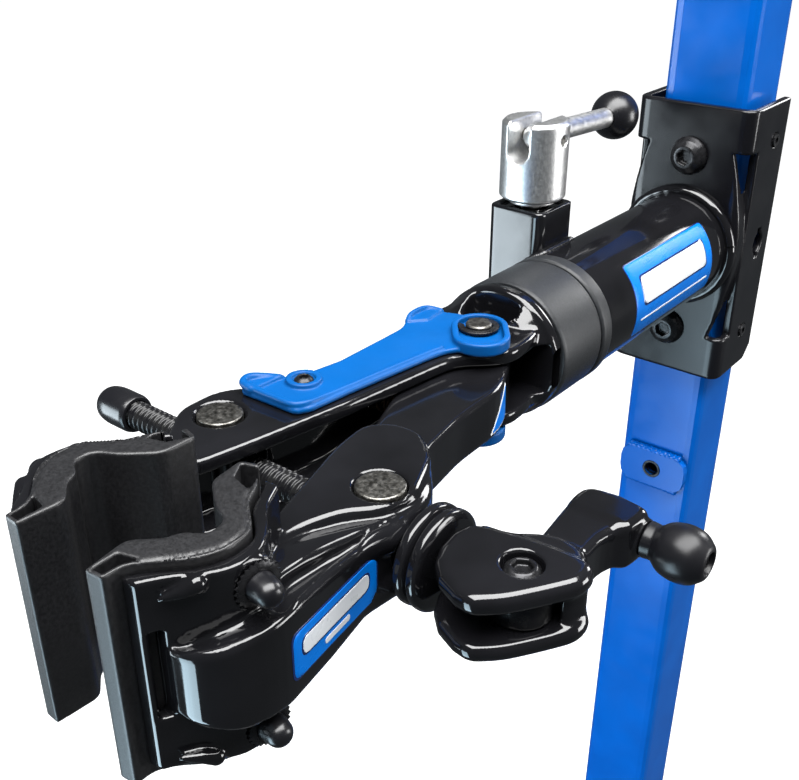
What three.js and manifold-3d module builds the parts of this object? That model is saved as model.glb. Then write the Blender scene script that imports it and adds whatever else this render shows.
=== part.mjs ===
// Bike repair stand: floor plate, square mast, and a clamp head that turns on a horizontal arm.
// Units are millimetres, +Z is up and the mast stands on the origin.
// The arm group has its own origin on the arm's axis, at the front end of the arm tube,
// with +X towards the mast and the clamp on the -X side.
import * as THREE from 'three';
import { mergeVertices } from 'three/addons/utils/BufferGeometryUtils.js';
import Module from 'manifold-3d';

const wasm = await Module();
wasm.setup();

// ---- driving dimensions -------------------------------------------------------------
const GAP = 0.3; // clearance between separate pieces that touch
const ARM_HEIGHT = 1150; // arm axis above the floor
const ARM_REACH = 180; // mast axis to the arm group's origin
const MAST = 50.8; // 2 inch square tube
const MAST_WALL = 3.2;
const MAST_CORNER = 6.4;
const MAST_ABOVE_ARM = 330;
const TAB = { width: 46, height: 25, thick: 4.8, pitch: 108, first: -162, count: 5 };
const BASE = { back: 180, front: -420, halfWidth: 300, thick: 12.7, corner: 40 };
const FOOT = { size: 152, thick: 10, holes: 57, rib: 8, ribHeight: 60, ribReach: 42 };
const BOLT = 6; // radius of the 12 mm screws
const TUBE = { radius: 31.75, bore: 28.55, end: 144.2, weld: 36 };
const BRACKET = { front: 144.5, sheet: 5, rear: 196, half: 36, top: 83.5, bottom: -82 };
const COLLAR = { radius: 33.4, groove: -7, front: -42.5 };
const SHAFT = { radius: 22.2, wall: 5, front: -42.7, rear: 134 };
const LOCK = { x: 23, y: 30, side: 31.75, wall: 3, top: 50, bottom: -46 };
const WEDGE = { low: 8, high: 38 };
const SLEEVE_CLEAR = 0.9; // above the upper wedge, which rises as the lock is loosened
const CAP = { radius: 17, bottom: 53.2, top: 93, slot: 12.5, pin: 84, pinRadius: 2.5 };
const LEVER = { radius: 5.4, length: 83, droop: 3, ball: 13.2 };
const PIVOT = { x: -73, y: -5, radius: 6 };
const PIN_X = -195; // both trunnions, with the jaws as they stand at rest
const FAR_PIN_Y = 31;
const NEAR_PIN_Y = -49.5;
const TRUNNION = { journal: 9.2, barrel: 13, barrelHalf: 10, top: 21.3 };
const PLATE = { inner: 12.2, outer: 19 }; // the clamp body's two plates
const COVER_THICK = 3;
const ARM_HALF = 19; // half height of the swinging arm
const TONGUE_HALF = 11.5;
const WALL_HALF = 16;
const PAD_HALF = 39.5;
const JAW_HALF = 36.5;
const ROD = { radius: 6.1, far: 97, flatFrom: -79.2, eye: 11, eyeHalf: 5 };
const ROD_CAP = { start: 84, length: 22, radius: 8.4 };
const DISC = { radius: 18.5, first: -68.3, thick: 5.1, bore: 6.5 };
const CAM = { y: -107.5, half: 13.5, slot: 5.5, radius: 27.7, bolt: 5 };
const KNOB = { x: -141, neck: -123, centre: -138, radius: 10.5 };

const FAR_JAW = { x: -234.6, y: -3.2, turn: 177.7, side: 1 };
const NEAR_JAW = { x: -236, y: -25.6, turn: 187.4, side: -1 };

// ---- materials ----------------------------------------------------------------------
const paint = (color, roughness, metalness) =>
  new THREE.MeshStandardMaterial({ color, roughness, metalness });
const BLUE_PAINT = paint(0x0b57c4, 0.25, 0.2);
const BLACK_PAINT = paint(0x0c0d10, 0.15, 0.2);
const DARK_SATIN = paint(0x24272b, 0.5, 0.2);
const BLUE_PLASTIC = paint(0x0a82e8, 0.4, 0.0);
const PAD_PLASTIC = paint(0x2b2c30, 0.8, 0.0);
const COLLAR_PLASTIC = paint(0x33343a, 0.6, 0.0);
const BLACK_KNOB = paint(0x0e0e10, 0.3, 0.0);
const SATIN_STEEL = paint(0xc4c6c8, 0.3, 1.0);
const PIN_STEEL = paint(0x8d8f8c, 0.5, 1.0);
const BLACK_STEEL = paint(0x17181b, 0.35, 0.8);
const BASE_PAINT = paint(0x17191c, 0.6, 0.1);

// ---- solids: three.js geometry in and out of manifold-3d ------------------------------
function solid(geometry) {
  const bare = geometry.clone();
  bare.deleteAttribute('normal');
  bare.deleteAttribute('uv');
  const merged = mergeVertices(bare, 1e-4);
  const index = merged.index.array;
  const faces = [];
  for (let i = 0; i < index.length; i += 3) {
    const [a, b, c] = [index[i], index[i + 1], index[i + 2]];
    if (a !== b && b !== c && c !== a) faces.push(a, b, c);
  }
  const vertProperties = new Float32Array(merged.attributes.position.array);
  const triVerts = new Uint32Array(faces);
  return new wasm.Manifold(new wasm.Mesh({ numProp: 3, vertProperties, triVerts }));
}

function geometryOf(shape) {
  const mesh = shape.getMesh();
  const geometry = new THREE.BufferGeometry();
  geometry.setAttribute('position', new THREE.BufferAttribute(mesh.vertProperties, 3));
  geometry.setIndex(new THREE.BufferAttribute(mesh.triVerts, 1));
  return geometry;
}

const joined = (shapes) => shapes.reduce((whole, shape) => whole.add(shape));
const cut = (shape, tools) => tools.reduce((rest, tool) => rest.subtract(tool), shape);

function piece(name, shape, material, parent) {
  const geometry = geometryOf(shape);
  geometry.computeVertexNormals();
  const mesh = new THREE.Mesh(geometry, material);
  mesh.name = name;
  parent.add(mesh);
  return mesh;
}

// A shape through the given corners; a corner's third number rounds it by that much.
function outline(corners) {
  const shape = new THREE.Shape();
  const count = corners.length;
  corners.forEach(([x, y, round = 0], i) => {
    const here = new THREE.Vector2(x, y);
    const before = new THREE.Vector2(...corners[(i + count - 1) % count].slice(0, 2));
    const after = new THREE.Vector2(...corners[(i + 1) % count].slice(0, 2));
    const fit = Math.min(round, here.distanceTo(before) * 0.49, here.distanceTo(after) * 0.49);
    const start = here.clone().add(before.sub(here).setLength(fit || 1e-6));
    const end = here.clone().add(after.sub(here).setLength(fit || 1e-6));
    if (i === 0) shape.moveTo(fit ? start.x : x, fit ? start.y : y);
    else shape.lineTo(fit ? start.x : x, fit ? start.y : y);
    if (fit) shape.quadraticCurveTo(x, y, end.x, end.y);
  });
  shape.closePath();
  return shape;
}

// Extrusions: a plan outline between two heights, and a (y, z) outline along X.
function slab(corners, low, high, curveSegments = 3) {
  const options = { depth: high - low, bevelEnabled: false, curveSegments };
  return solid(new THREE.ExtrudeGeometry(outline(corners), options).translate(0, 0, low));
}

function sideways(corners, back, front, curveSegments = 3) {
  const options = { depth: front - back, bevelEnabled: false, curveSegments };
  const geometry = new THREE.ExtrudeGeometry(outline(corners), options);
  geometry.rotateX(Math.PI / 2).rotateZ(Math.PI / 2).translate(back, 0, 0);
  return solid(geometry);
}

function box(low, high) {
  const size = high.map((value, i) => value - low[i]);
  const centre = high.map((value, i) => (value + low[i]) / 2);
  return solid(new THREE.BoxGeometry(...size).translate(...centre));
}

// A body of revolution from [radius, height] pairs, about X, Y or Z through a point.
function turned(profile, axis, centre = [0, 0, 0], segments = 24) {
  const points = profile.map(([radius, height]) => new THREE.Vector2(radius, height));
  const geometry = new THREE.LatheGeometry(points, segments);
  if (axis === 'x') geometry.rotateZ(-Math.PI / 2);
  if (axis === 'z') geometry.rotateX(Math.PI / 2);
  return solid(geometry.translate(...centre));
}

function rod(radius, low, high, axis, centre = [0, 0, 0], segments = 20) {
  return turned([[0, low], [radius, low], [radius, high], [0, high]], axis, centre, segments);
}

function ring(outer, inner, low, high, axis, centre = [0, 0, 0], segments = 24) {
  const profile = [[inner, low], [outer, low], [outer, high], [inner, high], [inner, low]];
  return turned(profile, axis, centre, segments);
}

const hexagon = (radius, low, high, axis, centre) => rod(radius, low, high, axis, centre, 6);

function roundedSquare(half, round, middle = [0, 0]) {
  return [[-1, -1], [1, -1], [1, 1], [-1, 1]]
    .map(([sx, sy]) => [middle[0] + sx * half, middle[1] + sy * half, round]);
}

// ---- stand: floor plate, foot and mast ------------------------------------------------
function baseBoltPlaces() {
  return [[-1, -1], [1, -1], [1, 1], [-1, 1]].map(([sx, sy]) => [sx * FOOT.holes, sy * FOOT.holes]);
}

function basePlate() {
  const { front, back, halfWidth, corner, thick } = BASE;
  const corners = [[front, -halfWidth, corner], [back, -halfWidth, corner],
    [back, halfWidth, corner], [front, halfWidth, corner]];
  const holes = baseBoltPlaces().map(([x, y]) => rod(BOLT + GAP, -1, thick + 1, 'z', [x, y, 0], 16));
  return cut(slab(corners, 0, thick, 6), holes);
}

const FOOT_BOTTOM = BASE.thick + GAP;
const FOOT_TOP = FOOT_BOTTOM + FOOT.thick;

function footFlange() {
  const plate = slab(roundedSquare(FOOT.size / 2, 12), FOOT_BOTTOM, FOOT_TOP);
  const near = MAST / 2 + GAP;
  const profile = [[near, FOOT_TOP - 1], [near + FOOT.ribReach, FOOT_TOP - 1],
    [near + FOOT.ribReach, FOOT_TOP + 8], [near + 8, FOOT_TOP + FOOT.ribHeight],
    [near, FOOT_TOP + FOOT.ribHeight]];
  const options = { depth: FOOT.rib, bevelEnabled: false };
  const ribs = [0, 90, 180, 270].map((turn) => {
    const geometry = new THREE.ExtrudeGeometry(outline(profile), options);
    geometry.translate(0, 0, -FOOT.rib / 2).rotateX(Math.PI / 2).rotateZ(turn * Math.PI / 180);
    return solid(geometry);
  });
  const holes = baseBoltPlaces().map(([x, y]) =>
    rod(BOLT + GAP, FOOT_BOTTOM - 1, FOOT_TOP + 1, 'z', [x, y, 0], 16));
  return cut(joined([plate, ...ribs]), holes);
}

function baseBolt(x, y) {
  const seat = FOOT_TOP + GAP;
  const shank = rod(BOLT, 1.5, seat + 1, 'z', [x, y, 0], 16);
  const washer = rod(12, seat, seat + 2.5, 'z', [x, y, 0], 20);
  const head = hexagon(11, seat + 2, seat + 10, 'z', [x, y, 0]);
  return joined([shank, washer, head]);
}

const MAST_FOOT = FOOT_TOP + GAP;
const MAST_TOP = ARM_HEIGHT + MAST_ABOVE_ARM;

function tabHeights() {
  return Array.from({ length: TAB.count }, (_, i) => ARM_HEIGHT + TAB.first + i * TAB.pitch);
}

function mastTab(height) {
  const [w, h] = [TAB.width / 2, TAB.height / 2];
  const shape = [[-w, height - h, 9], [w, height - h, 9], [w, height + h, 9], [-w, height + h, 9]];
  return sideways(shape, -MAST / 2 - TAB.thick, -MAST / 2 + 1);
}

function mastTube() {
  const outside = slab(roundedSquare(MAST / 2, MAST_CORNER), MAST_FOOT, MAST_TOP);
  const inside = slab(roundedSquare(MAST / 2 - MAST_WALL, MAST_CORNER / 2), MAST_FOOT - 1, MAST_TOP + 1);
  const tabs = tabHeights().map(mastTab);
  const holes = tabHeights().map((height) =>
    rod(BOLT + GAP, -MAST, -MAST / 2 + MAST_WALL + 1, 'x', [0, 0, height], 16));
  return cut(joined([outside, ...tabs]), [inside, ...holes]);
}

function mastCap() {
  const lid = slab(roundedSquare(MAST / 2, MAST_CORNER), MAST_TOP + GAP, MAST_TOP + GAP + 4);
  const half = MAST / 2 - MAST_WALL - GAP;
  const skirt = slab(roundedSquare(half, MAST_CORNER / 2), MAST_TOP - 16, MAST_TOP + 1);
  const hollow = slab(roundedSquare(half - 2.5, 2), MAST_TOP - 17, MAST_TOP - 2);
  return joined([lid, skirt]).subtract(hollow);
}

// ---- arm: bracket, tube, bushings ------------------------------------------------------
const SCREW_HEIGHTS = [-TAB.pitch / 2, TAB.pitch / 2];
const SET_SCREWS = [[180, 61.5], [177, -58]];

function bracketWindow(side) {
  const curve = [[25.5, 59], [33, 27], [35.7, 3, 20], [33, -27], [25.5, -55]];
  const shape = [...curve, [60, -55], [60, 59]].map(([y, z, round = 0]) => [side * y, z, round]);
  return sideways(shape, BRACKET.front - 5, BRACKET.front + 12);
}

function mountBracket() {
  const { front, sheet, rear, half, top, bottom } = BRACKET;
  const block = slab([[front, -half, 7], [rear, -half], [rear, half], [front, half, 7]], bottom, top);
  const channel = slab([[front + sheet, sheet - half, 3], [rear + 5, sheet - half],
    [rear + 5, half - sheet], [front + sheet, half - sheet, 3]], bottom - 5, top + 5);
  const chamfer = new THREE.ExtrudeGeometry(
    outline([[rear + 1, bottom - 1], [rear + 1, bottom + 8], [rear - 8, bottom - 1]]),
    { depth: 100, bevelEnabled: false });
  chamfer.rotateX(Math.PI / 2).translate(0, 50, 0);
  const screwHoles = SCREW_HEIGHTS.map((z) =>
    rod(BOLT + GAP, front - 5, front + 10, 'x', [0, 0, z], 16));
  const setHoles = SET_SCREWS.map(([x, z]) => rod(4 + GAP, -50, 50, 'y', [x, 0, z], 12));
  const keyHole = rod(6.5, -50, 50, 'y', [179, 0, -1], 16);
  const keySlots = box([176.5, -50, -10.5], [181.5, 50, 8.5]);
  return cut(block, [channel, solid(chamfer), bracketWindow(1), bracketWindow(-1),
    ...screwHoles, ...setHoles, keyHole, keySlots]);
}

function bracketScrew(height) {
  const seat = BRACKET.front - GAP;
  const head = [[0, seat - 6.6], [6, seat - 6.6], [9, seat - 5], [11, seat - 1.2], [11, seat], [0, seat]];
  const shank = rod(BOLT, seat - 0.5, seat + 26, 'x', [0, 0, height], 16);
  const socket = hexagon(4, seat - 8, seat - 2.6, 'x', [0, 0, height]);
  return joined([turned(head, 'x', [0, 0, height], 24), shank]).subtract(socket);
}

function setScrew(side, [x, z]) {
  const tip = MAST / 2 + GAP;
  const end = BRACKET.half + 1;
  const [low, high] = side > 0 ? [tip, end] : [-end, -tip];
  const [socketLow, socketHigh] = side > 0 ? [end - 3, end + 1] : [-end - 1, 3 - end];
  const socket = hexagon(2.3, socketLow, socketHigh, 'y', [x, 0, z]);
  return rod(4, low, high, 'y', [x, 0, z], 12).subtract(socket);
}

function armTube() {
  const { radius, bore, end, weld } = TUBE;
  const profile = [[bore, 3.3], [radius, 3.3], [radius, end - 6], [radius + 1.2, end - 3],
    [weld, end], [bore, end], [bore, 3.3]];
  const reach = LOCK.side / 2 + GAP;
  const notch = box([LOCK.x - reach, LOCK.y - reach, -60], [LOCK.x + reach, LOCK.y + reach, 60]);
  return turned(profile, 'x', [0, 0, 0], 28).subtract(notch);
}

function frontBushing() {
  const inner = SHAFT.radius + GAP;
  const front = COLLAR.groove + GAP;
  const plug = TUBE.bore - GAP;
  const profile = [[inner, front], [COLLAR.radius, front], [COLLAR.radius, 3], [plug, 3], [plug, 6.6],
    [inner, 6.6], [inner, front]];
  return turned(profile, 'x', [0, 0, 0], 28);
}

function rearBushing() {
  return ring(TUBE.bore - GAP, SHAFT.radius + GAP, 100, 122, 'x', [0, 0, 0], 28);
}

// ---- arm: the lock that stops the head from turning ------------------------------------
function lockHousing() {
  const { x, y, side, wall, top, bottom } = LOCK;
  const outside = slab(roundedSquare(side / 2, 4, [x, y]), bottom, top);
  const inside = slab(roundedSquare(side / 2 - wall, 2, [x, y]), bottom - 1, top - 4);
  const boltHole = rod(8.5, top - 8, top + 1, 'z', [x, y, 0], 20);
  const shaftRoom = rod(SHAFT.radius + 0.8, x - 30, x + 30, 'x', [0, 0, 0], 28);
  return cut(outside, [inside, boltHole, shaftRoom]);
}

function lockWedge(side) {
  const { x, y, side: width, wall } = LOCK;
  const [low, high] = side > 0 ? [WEDGE.low, WEDGE.high] : [-WEDGE.high, -WEDGE.low];
  const block = slab(roundedSquare(width / 2 - wall - GAP, 2, [x, y]), low, high);
  const boltHole = rod(5 + GAP, -50, 50, 'z', [x, y, 0], 16);
  return cut(block, [boltHole, rod(SHAFT.radius + 0.6, x - 30, x + 30, 'x', [0, 0, 0], 28)]);
}

// A sleeve with a washer head carries the cap's push down to the upper wedge.
function lockSleeve() {
  const inner = 5 + GAP;
  const high = CAP.bottom - GAP;
  const low = WEDGE.high + SLEEVE_CLEAR;
  const seat = LOCK.top + 0.7;
  const profile = [[inner, low], [8, low], [8, seat], [12, seat], [12, high], [inner, high], [inner, low]];
  return turned(profile, 'z', [LOCK.x, LOCK.y, 0], 24);
}

function lockNut() {
  const nut = hexagon(9.5, -WEDGE.high - GAP - 9, -WEDGE.high - GAP, 'z', [LOCK.x, LOCK.y, 0]);
  return nut.subtract(rod(5 + GAP, -60, 0, 'z', [LOCK.x, LOCK.y, 0], 16));
}

function lockBolt() {
  const centre = [LOCK.x, LOCK.y, 0];
  return rod(5, LOCK.bottom - 3, CAP.bottom + 12, 'z', centre, 16);
}

function lockCap() {
  const { radius, bottom, top, slot, pin, pinRadius } = CAP;
  const centre = [LOCK.x, LOCK.y, 0];
  const profile = [[0, bottom], [radius - 1.5, bottom], [radius, bottom + 1.5], [radius, top - 1.5],
    [radius - 1.5, top], [0, top]];
  const low = 73;
  const half = slot / 2;
  const channel = box([LOCK.x - 30, LOCK.y - half, low + half], [LOCK.x + 30, LOCK.y + half, top + 5]);
  const channelEnd = rod(half, -30, 30, 'x', [LOCK.x, LOCK.y, low + half], 20);
  const pinHole = rod(pinRadius + GAP, -30, 30, 'y', [LOCK.x, LOCK.y, pin], 12);
  const boltHole = rod(5 + GAP, bottom - 1, bottom + 12 + GAP, 'z', centre, 16);
  return cut(turned(profile, 'z', centre, 28), [channel, channelEnd, pinHole, boltHole]);
}

function lockPin() {
  const half = CAP.radius - 1;
  return rod(CAP.pinRadius, -half, half, 'y', [LOCK.x, LOCK.y, CAP.pin], 12);
}

// The lever and its ball are made along +X from the pin, then tipped down by the droop.
function leverGroup(parent) {
  const group = new THREE.Group();
  group.position.set(LOCK.x, LOCK.y, CAP.pin);
  group.rotation.y = LEVER.droop * Math.PI / 180;
  parent.add(group);
  const { radius, length, ball } = LEVER;
  const eye = rod(radius + 0.2, -radius, radius, 'y', [0, 0, 0], 20);
  const bar = rod(radius, 0, length + 4, 'x', [0, 0, 0], 20);
  const pinHole = rod(CAP.pinRadius + GAP, -20, 20, 'y', [0, 0, 0], 12);
  piece('lock_lever', joined([eye, bar]).subtract(pinHole), SATIN_STEEL, group);
  const sphere = solid(new THREE.SphereGeometry(ball, 18, 12).translate(length, 0, 0));
  const socket = rod(radius + GAP, length - 20, length + 4 + GAP, 'x', [0, 0, 0], 20);
  piece('lock_lever_ball', sphere.subtract(socket), BLACK_KNOB, group);
}

// ---- clamp head: fixed casting ----------------------------------------------------------
const place = ({ x, y, turn, side }) => {
  const angle = turn * Math.PI / 180;
  const along = [Math.cos(angle), Math.sin(angle)];
  const outward = [-along[1] * -side, along[0] * -side];
  return ([u, v, round = 0]) =>
    [x + u * along[0] + v * outward[0], y + u * along[1] + v * outward[1], round];
};

const PAD_INNER = [[0, 0, 2], [14, 0, 3], [18.5, 4.5, 3], [24, 10, 4], [28, 17.5, 4], [35.5, 17.5, 3],
  [39, 10.5, 3], [43.5, 8.5, 3], [50, -0.5, 3], [66, 0]];
const PAD_OUTER = [[66, 6.5], [59, 7.5, 3], [54, 12, 3], [47, 21.5, 5], [38.5, 26.8, 5], [27.5, 27, 5],
  [21.5, 21.5, 4], [16.5, 16.5, 3], [8, 13.5, 4], [-1.5, 6.5]];
const JAW_INNER = [[1, 10.5], [7.8, 14.2, 4], [16, 17.1, 3], [21, 22.1, 4], [27.3, 27.6, 5],
  [38.8, 27.4, 5],
  [47.4, 22, 5], [54.4, 12.5, 3], [59.2, 8.1, 3], [61, 7.9]];
const JAW_OUTER = [[61, 13], [53, 19.5, 6], [46, 28.5, 6], [39.5, 32.3, 6], [29, 32.3, 6], [20.5, 27, 5],
  [12, 20, 4], [1, 16]];

function pad(jaw) {
  return slab([...PAD_INNER, ...PAD_OUTER].map(place(jaw)), -PAD_HALF, PAD_HALF, 3);
}

function jawPlate(jaw) {
  const plate = slab([...JAW_INNER, ...JAW_OUTER].map(place(jaw)), -JAW_HALF, JAW_HALF, 3);
  const heights = [NUT_SEAT.height, -NUT_SEAT.height];
  const bosses = heights.map((height) => nutPlug(jaw, height, -3.5, 0));
  const spotFaces = heights.map((height) => nutPlug(jaw, height, 0, 12));
  return cut(joined([plate, ...bosses]), spotFaces);
}

// Two domed nuts hold each pad, on slanted bosses at the back of the jaw plate's crest.
const NUT_SEAT = { u: 34.2, v: 33, height: 26.8, boss: 8.4 };
const NUT_LEAN = [0.3, 0.954]; // along the jaw and outward

// A body of revolution about the nut's own axis, from its seat outward.
function onNutAxis(jaw, height, profile, segments) {
  const to = place(jaw);
  const [x0, y0] = to([NUT_SEAT.u, NUT_SEAT.v]);
  const [x1, y1] = to([NUT_SEAT.u + NUT_LEAN[0], NUT_SEAT.v + NUT_LEAN[1]]);
  const points = profile.map(([radius, along]) => new THREE.Vector2(radius, along));
  const geometry = new THREE.LatheGeometry(points, segments);
  geometry.rotateZ(-Math.PI / 2).rotateZ(Math.atan2(y1 - y0, x1 - x0));
  return solid(geometry.translate(x0, y0, height));
}

function padNut(jaw, height) {
  const profile = [[0, GAP], [7.6, GAP], [7.6, 1.5], [5.8, 1.5], [5.8, 4.2], [4.6, 7.6], [2.4, 9.2],
    [0, 9.6]];
  return onNutAxis(jaw, height, profile, 14);
}

function nutPlug(jaw, height, low, high) {
  const radius = NUT_SEAT.boss;
  return onNutAxis(jaw, height, [[0, low], [radius, low], [radius, high], [0, high]], 14);
}

const bodyPlatePlan = [[-44, -20, 6], [-58, -25.5, 8], [-76, -26.5, 10], [-86, -21, 6], [-95, -10.5, 6],
  [-106, -8, 4], [-156, -2], [-203, 6.3, 10], [-226, 11, 5], [-226, 30, 12], [-213, 38, 14],
  [-203, 46.5, 12],
  [-181, 47, 14], [-168, 35, 8], [-158, 25, 12], [-93, 23, 10], [-82, 27, 6], [-66, 28, 8], [-44, 26, 6]];

function farArmRear() {
  // The far arm steps down behind the pad and swells into the jaw plate.
  const plan = [[-224, 12, 4], [-224, 33, 6], [-214, 41, 6], [-226, 43, 8], [-262, 44.5, 8],
    [-283, 40, 8], [-290, 25, 4], [-284, 24], [-268, 32.4], [-254, 28.5], [-247, 19.5], [-238, 11.5]];
  return slab(plan, -WALL_HALF, WALL_HALF);
}

function trunnionRoom(pinY) {
  const journal = rod(TRUNNION.journal + GAP, -30, 30, 'z', [PIN_X, pinY, 0], 32);
  const barrel = rod(TRUNNION.barrel + GAP, -TRUNNION.barrelHalf - 1, TRUNNION.barrelHalf + 1, 'z',
    [PIN_X, pinY, 0], 32);
  return [journal, barrel];
}

function clampBody() {
  const { inner, outer } = PLATE;
  const plates = [slab(bodyPlatePlan, inner, outer), slab(bodyPlatePlan, -outer, -inner)];
  const web = slab([[-50, 17], [-90, 16, 4], [-160, 13, 6], [-226, 24], [-226, 32, 6], [-213, 38, 14],
    [-203, 46.5, 12], [-181, 47, 14], [-168, 35, 8], [-158, 25, 12], [-93, 23, 10], [-82, 27, 6],
    [-66, 28, 8],
    [-50, 26]], -inner - 0.5, inner + 0.5);
  const disc = rod(32.5, -49.5, -43, 'x', [0, 0, 0], 28);
  const hub = turned([[0, -60.5], [19, -60.5], [27, -56], [31, -49], [0, -49]], 'x', [0, 0, 0], 28);
  const tongueRoom = rod(21.5, -inner, inner, 'z', [PIVOT.x, PIVOT.y, 0], 28);
  const tongueWay = slab([[-48.9, -40], [-48.9, 10], [-73, 13], [-120, 13], [-120, -60]], -inner, inner);
  const hubTrim = box([-80, -60, -outer], [-51.5, 9, outer])
    .subtract(box([-80, -60, -inner], [-51.5, 9, inner]));
  const bosses = rod(18, -inner, inner, 'z', [PIN_X, FAR_PIN_Y, 0], 32);
  const whole = cut(joined([hub, hubTrim.intersect(plates[0].add(plates[1]))]), [tongueWay, tongueRoom]);
  const pivotHole = rod(PIVOT.radius + GAP, -30, 30, 'z', [PIVOT.x, PIVOT.y, 0], 20);
  const rodSlot = box([PIN_X - 8.5, -10, -7.5], [PIN_X + 8.5, 70, 7.5]);
  const coverScrewHole = rod(2.5 + GAP, inner - 1, outer + 1, 'z', [-159, 20.5, 0], 12);
  const coverScrewHoleLow = rod(2.5 + GAP, -outer - 1, -inner + 1, 'z', [-159, 20.5, 0], 12);
  return cut(joined([disc, whole, ...plates, web, bosses, farArmRear(), jawPlate(FAR_JAW)]),
    [...trunnionRoom(FAR_PIN_Y), rodSlot, pivotHole, coverScrewHole, coverScrewHoleLow]);
}

function clampShaft() {
  const { radius, wall, front, rear } = SHAFT;
  return ring(radius, radius - wall, front, rear, 'x', [0, 0, 0], 28);
}

function shaftCollar() {
  return ring(26.5, SHAFT.radius + GAP, 122.3 + GAP, 131, 'x', [0, 0, 0], 28);
}

function headCollar() {
  return ring(33.2, SHAFT.radius + GAP, COLLAR.front, COLLAR.groove, 'x', [0, 0, 0], 28);
}

const coverPlan = [[-66, -17.5, 4], [-84, -21.5, 5], [-97, -7, 6], [-108, -4.5, 4], [-152, 1.4],
  [-173, 3.5, 2],
  [-178.5, 6.6, 2], [-179.5, 36, 3], [-172, 38.5, 4], [-167.5, 29.5, 4], [-156, 24.8, 6], [-135, 22.3],
  [-93, 22.8, 4], [-84, 27, 4], [-70, 27.5, 4], [-63, 10, 4]];

function cover(side) {
  const [low, high] = [PLATE.outer + GAP, PLATE.outer + GAP + COVER_THICK];
  const sheet = side > 0 ? slab(coverPlan, low, high) : slab(coverPlan, -high, -low);
  const [bossLow, bossHigh] = side > 0 ? [high - 1, high + 1.5] : [-high - 1.5, 1 - high];
  const boss = ring(14, 11.4, bossLow, bossHigh, 'z', [PIVOT.x, PIVOT.y, 0], 28);
  const pinHole = rod(PIVOT.radius + GAP, -40, 40, 'z', [PIVOT.x, PIVOT.y, 0], 20);
  const screwHole = rod(2.5 + GAP, -40, 40, 'z', [-159, 20.5, 0], 12);
  return cut(joined([sheet, boss]), [pinHole, screwHole]);
}

function coverScrew(side) {
  const seat = PLATE.outer + GAP + COVER_THICK + GAP;
  const profile = [[0, 13.5], [2.5, 13.5], [2.5, seat], [5.2, seat], [4.6, seat + 2], [2.6, seat + 3],
    [0, seat + 3]];
  const points = side > 0 ? profile : profile.map(([radius, height]) => [radius, -height]).reverse();
  return turned(points, 'z', [-159, 20.5, 0], 16);
}

const CLIP_SEAT = PLATE.outer + GAP + COVER_THICK + GAP;

function pivotPin() {
  const top = CLIP_SEAT + 2.6;
  const { radius } = PIVOT;
  const profile = [[0, -top], [radius - 0.6, -top], [radius, 0.6 - top], [radius, top - 0.6],
    [radius - 0.6, top], [0, top]];
  return turned(profile, 'z', [PIVOT.x, PIVOT.y, 0], 20);
}

function pivotClip(side) {
  const [low, high] = side > 0 ? [CLIP_SEAT, CLIP_SEAT + 1.2] : [-CLIP_SEAT - 1.2, -CLIP_SEAT];
  const centre = [PIVOT.x, PIVOT.y, 0];
  const mouth = box([PIVOT.x - 3, PIVOT.y, low - 1], [PIVOT.x + 3, PIVOT.y + 20, high + 1]);
  return ring(9.6, PIVOT.radius + GAP, low, high, 'z', centre, 28).subtract(mouth);
}

// ---- trunnions and the adjusting rod ------------------------------------------------------
function trunnion(pinY) {
  const centre = [PIN_X, pinY, 0];
  const { journal, barrel, barrelHalf, top } = TRUNNION;
  const profile = [[0, -top], [journal, -top], [journal, -barrelHalf], [barrel, -barrelHalf],
    [barrel, barrelHalf], [journal, barrelHalf], [journal, top], [0, top]];
  return turned(profile, 'z', centre, 32);
}

const farTrunnion = () =>
  trunnion(FAR_PIN_Y).subtract(rod(ROD.radius + GAP, -100, 100, 'y', [PIN_X, 0, 0], 20));

function nearTrunnion() {
  const hub = rod(9, DISC.first + GAP, NEAR_PIN_Y, 'y', [PIN_X, 0, 0], 24);
  return joined([trunnion(NEAR_PIN_Y), hub]).subtract(rod(7, -100, 100, 'y', [PIN_X, 0, 0], 20));
}

function adjustRod() {
  const bar = rod(ROD.radius, ROD.flatFrom, ROD.far, 'y', [PIN_X, 0, 0], 20);
  const flat = box([PIN_X - ROD.radius, CAM.y, -ROD.eyeHalf],
    [PIN_X + ROD.radius, ROD.flatFrom + GAP / 3, ROD.eyeHalf]);
  const eye = rod(ROD.eye, -ROD.eyeHalf, ROD.eyeHalf, 'z', [PIN_X, CAM.y, 0], 28);
  return joined([bar, flat, eye]).subtract(rod(CAM.bolt + GAP, -20, 20, 'z', [PIN_X, CAM.y, 0], 16));
}

function rodEndCap() {
  const { start, length, radius: outer } = ROD_CAP;
  const inner = ROD.radius + GAP;
  const profile = [[inner, start], [outer - 0.4, start], [outer, start + 2], [outer, start + 13],
    [outer - 1, start + 17.5], [outer - 3.4, start + 20.6], [0, start + length],
    [0, ROD.far + GAP], [inner, ROD.far + GAP], [inner, start]];
  return turned(profile, 'y', [PIN_X, 0, 0], 24);
}

function thrustDisc(number) {
  const high = DISC.first - number * (DISC.thick + 0.4);
  const low = high - DISC.thick;
  const { radius, bore } = DISC;
  const profile = [[bore, low], [radius - 1.2, low], [radius, low + 1.2], [radius, high - 1.2],
    [radius - 1.2, high], [bore, high], [bore, low]];
  return turned(profile, 'y', [PIN_X, 0, 0], 24);
}

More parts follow.
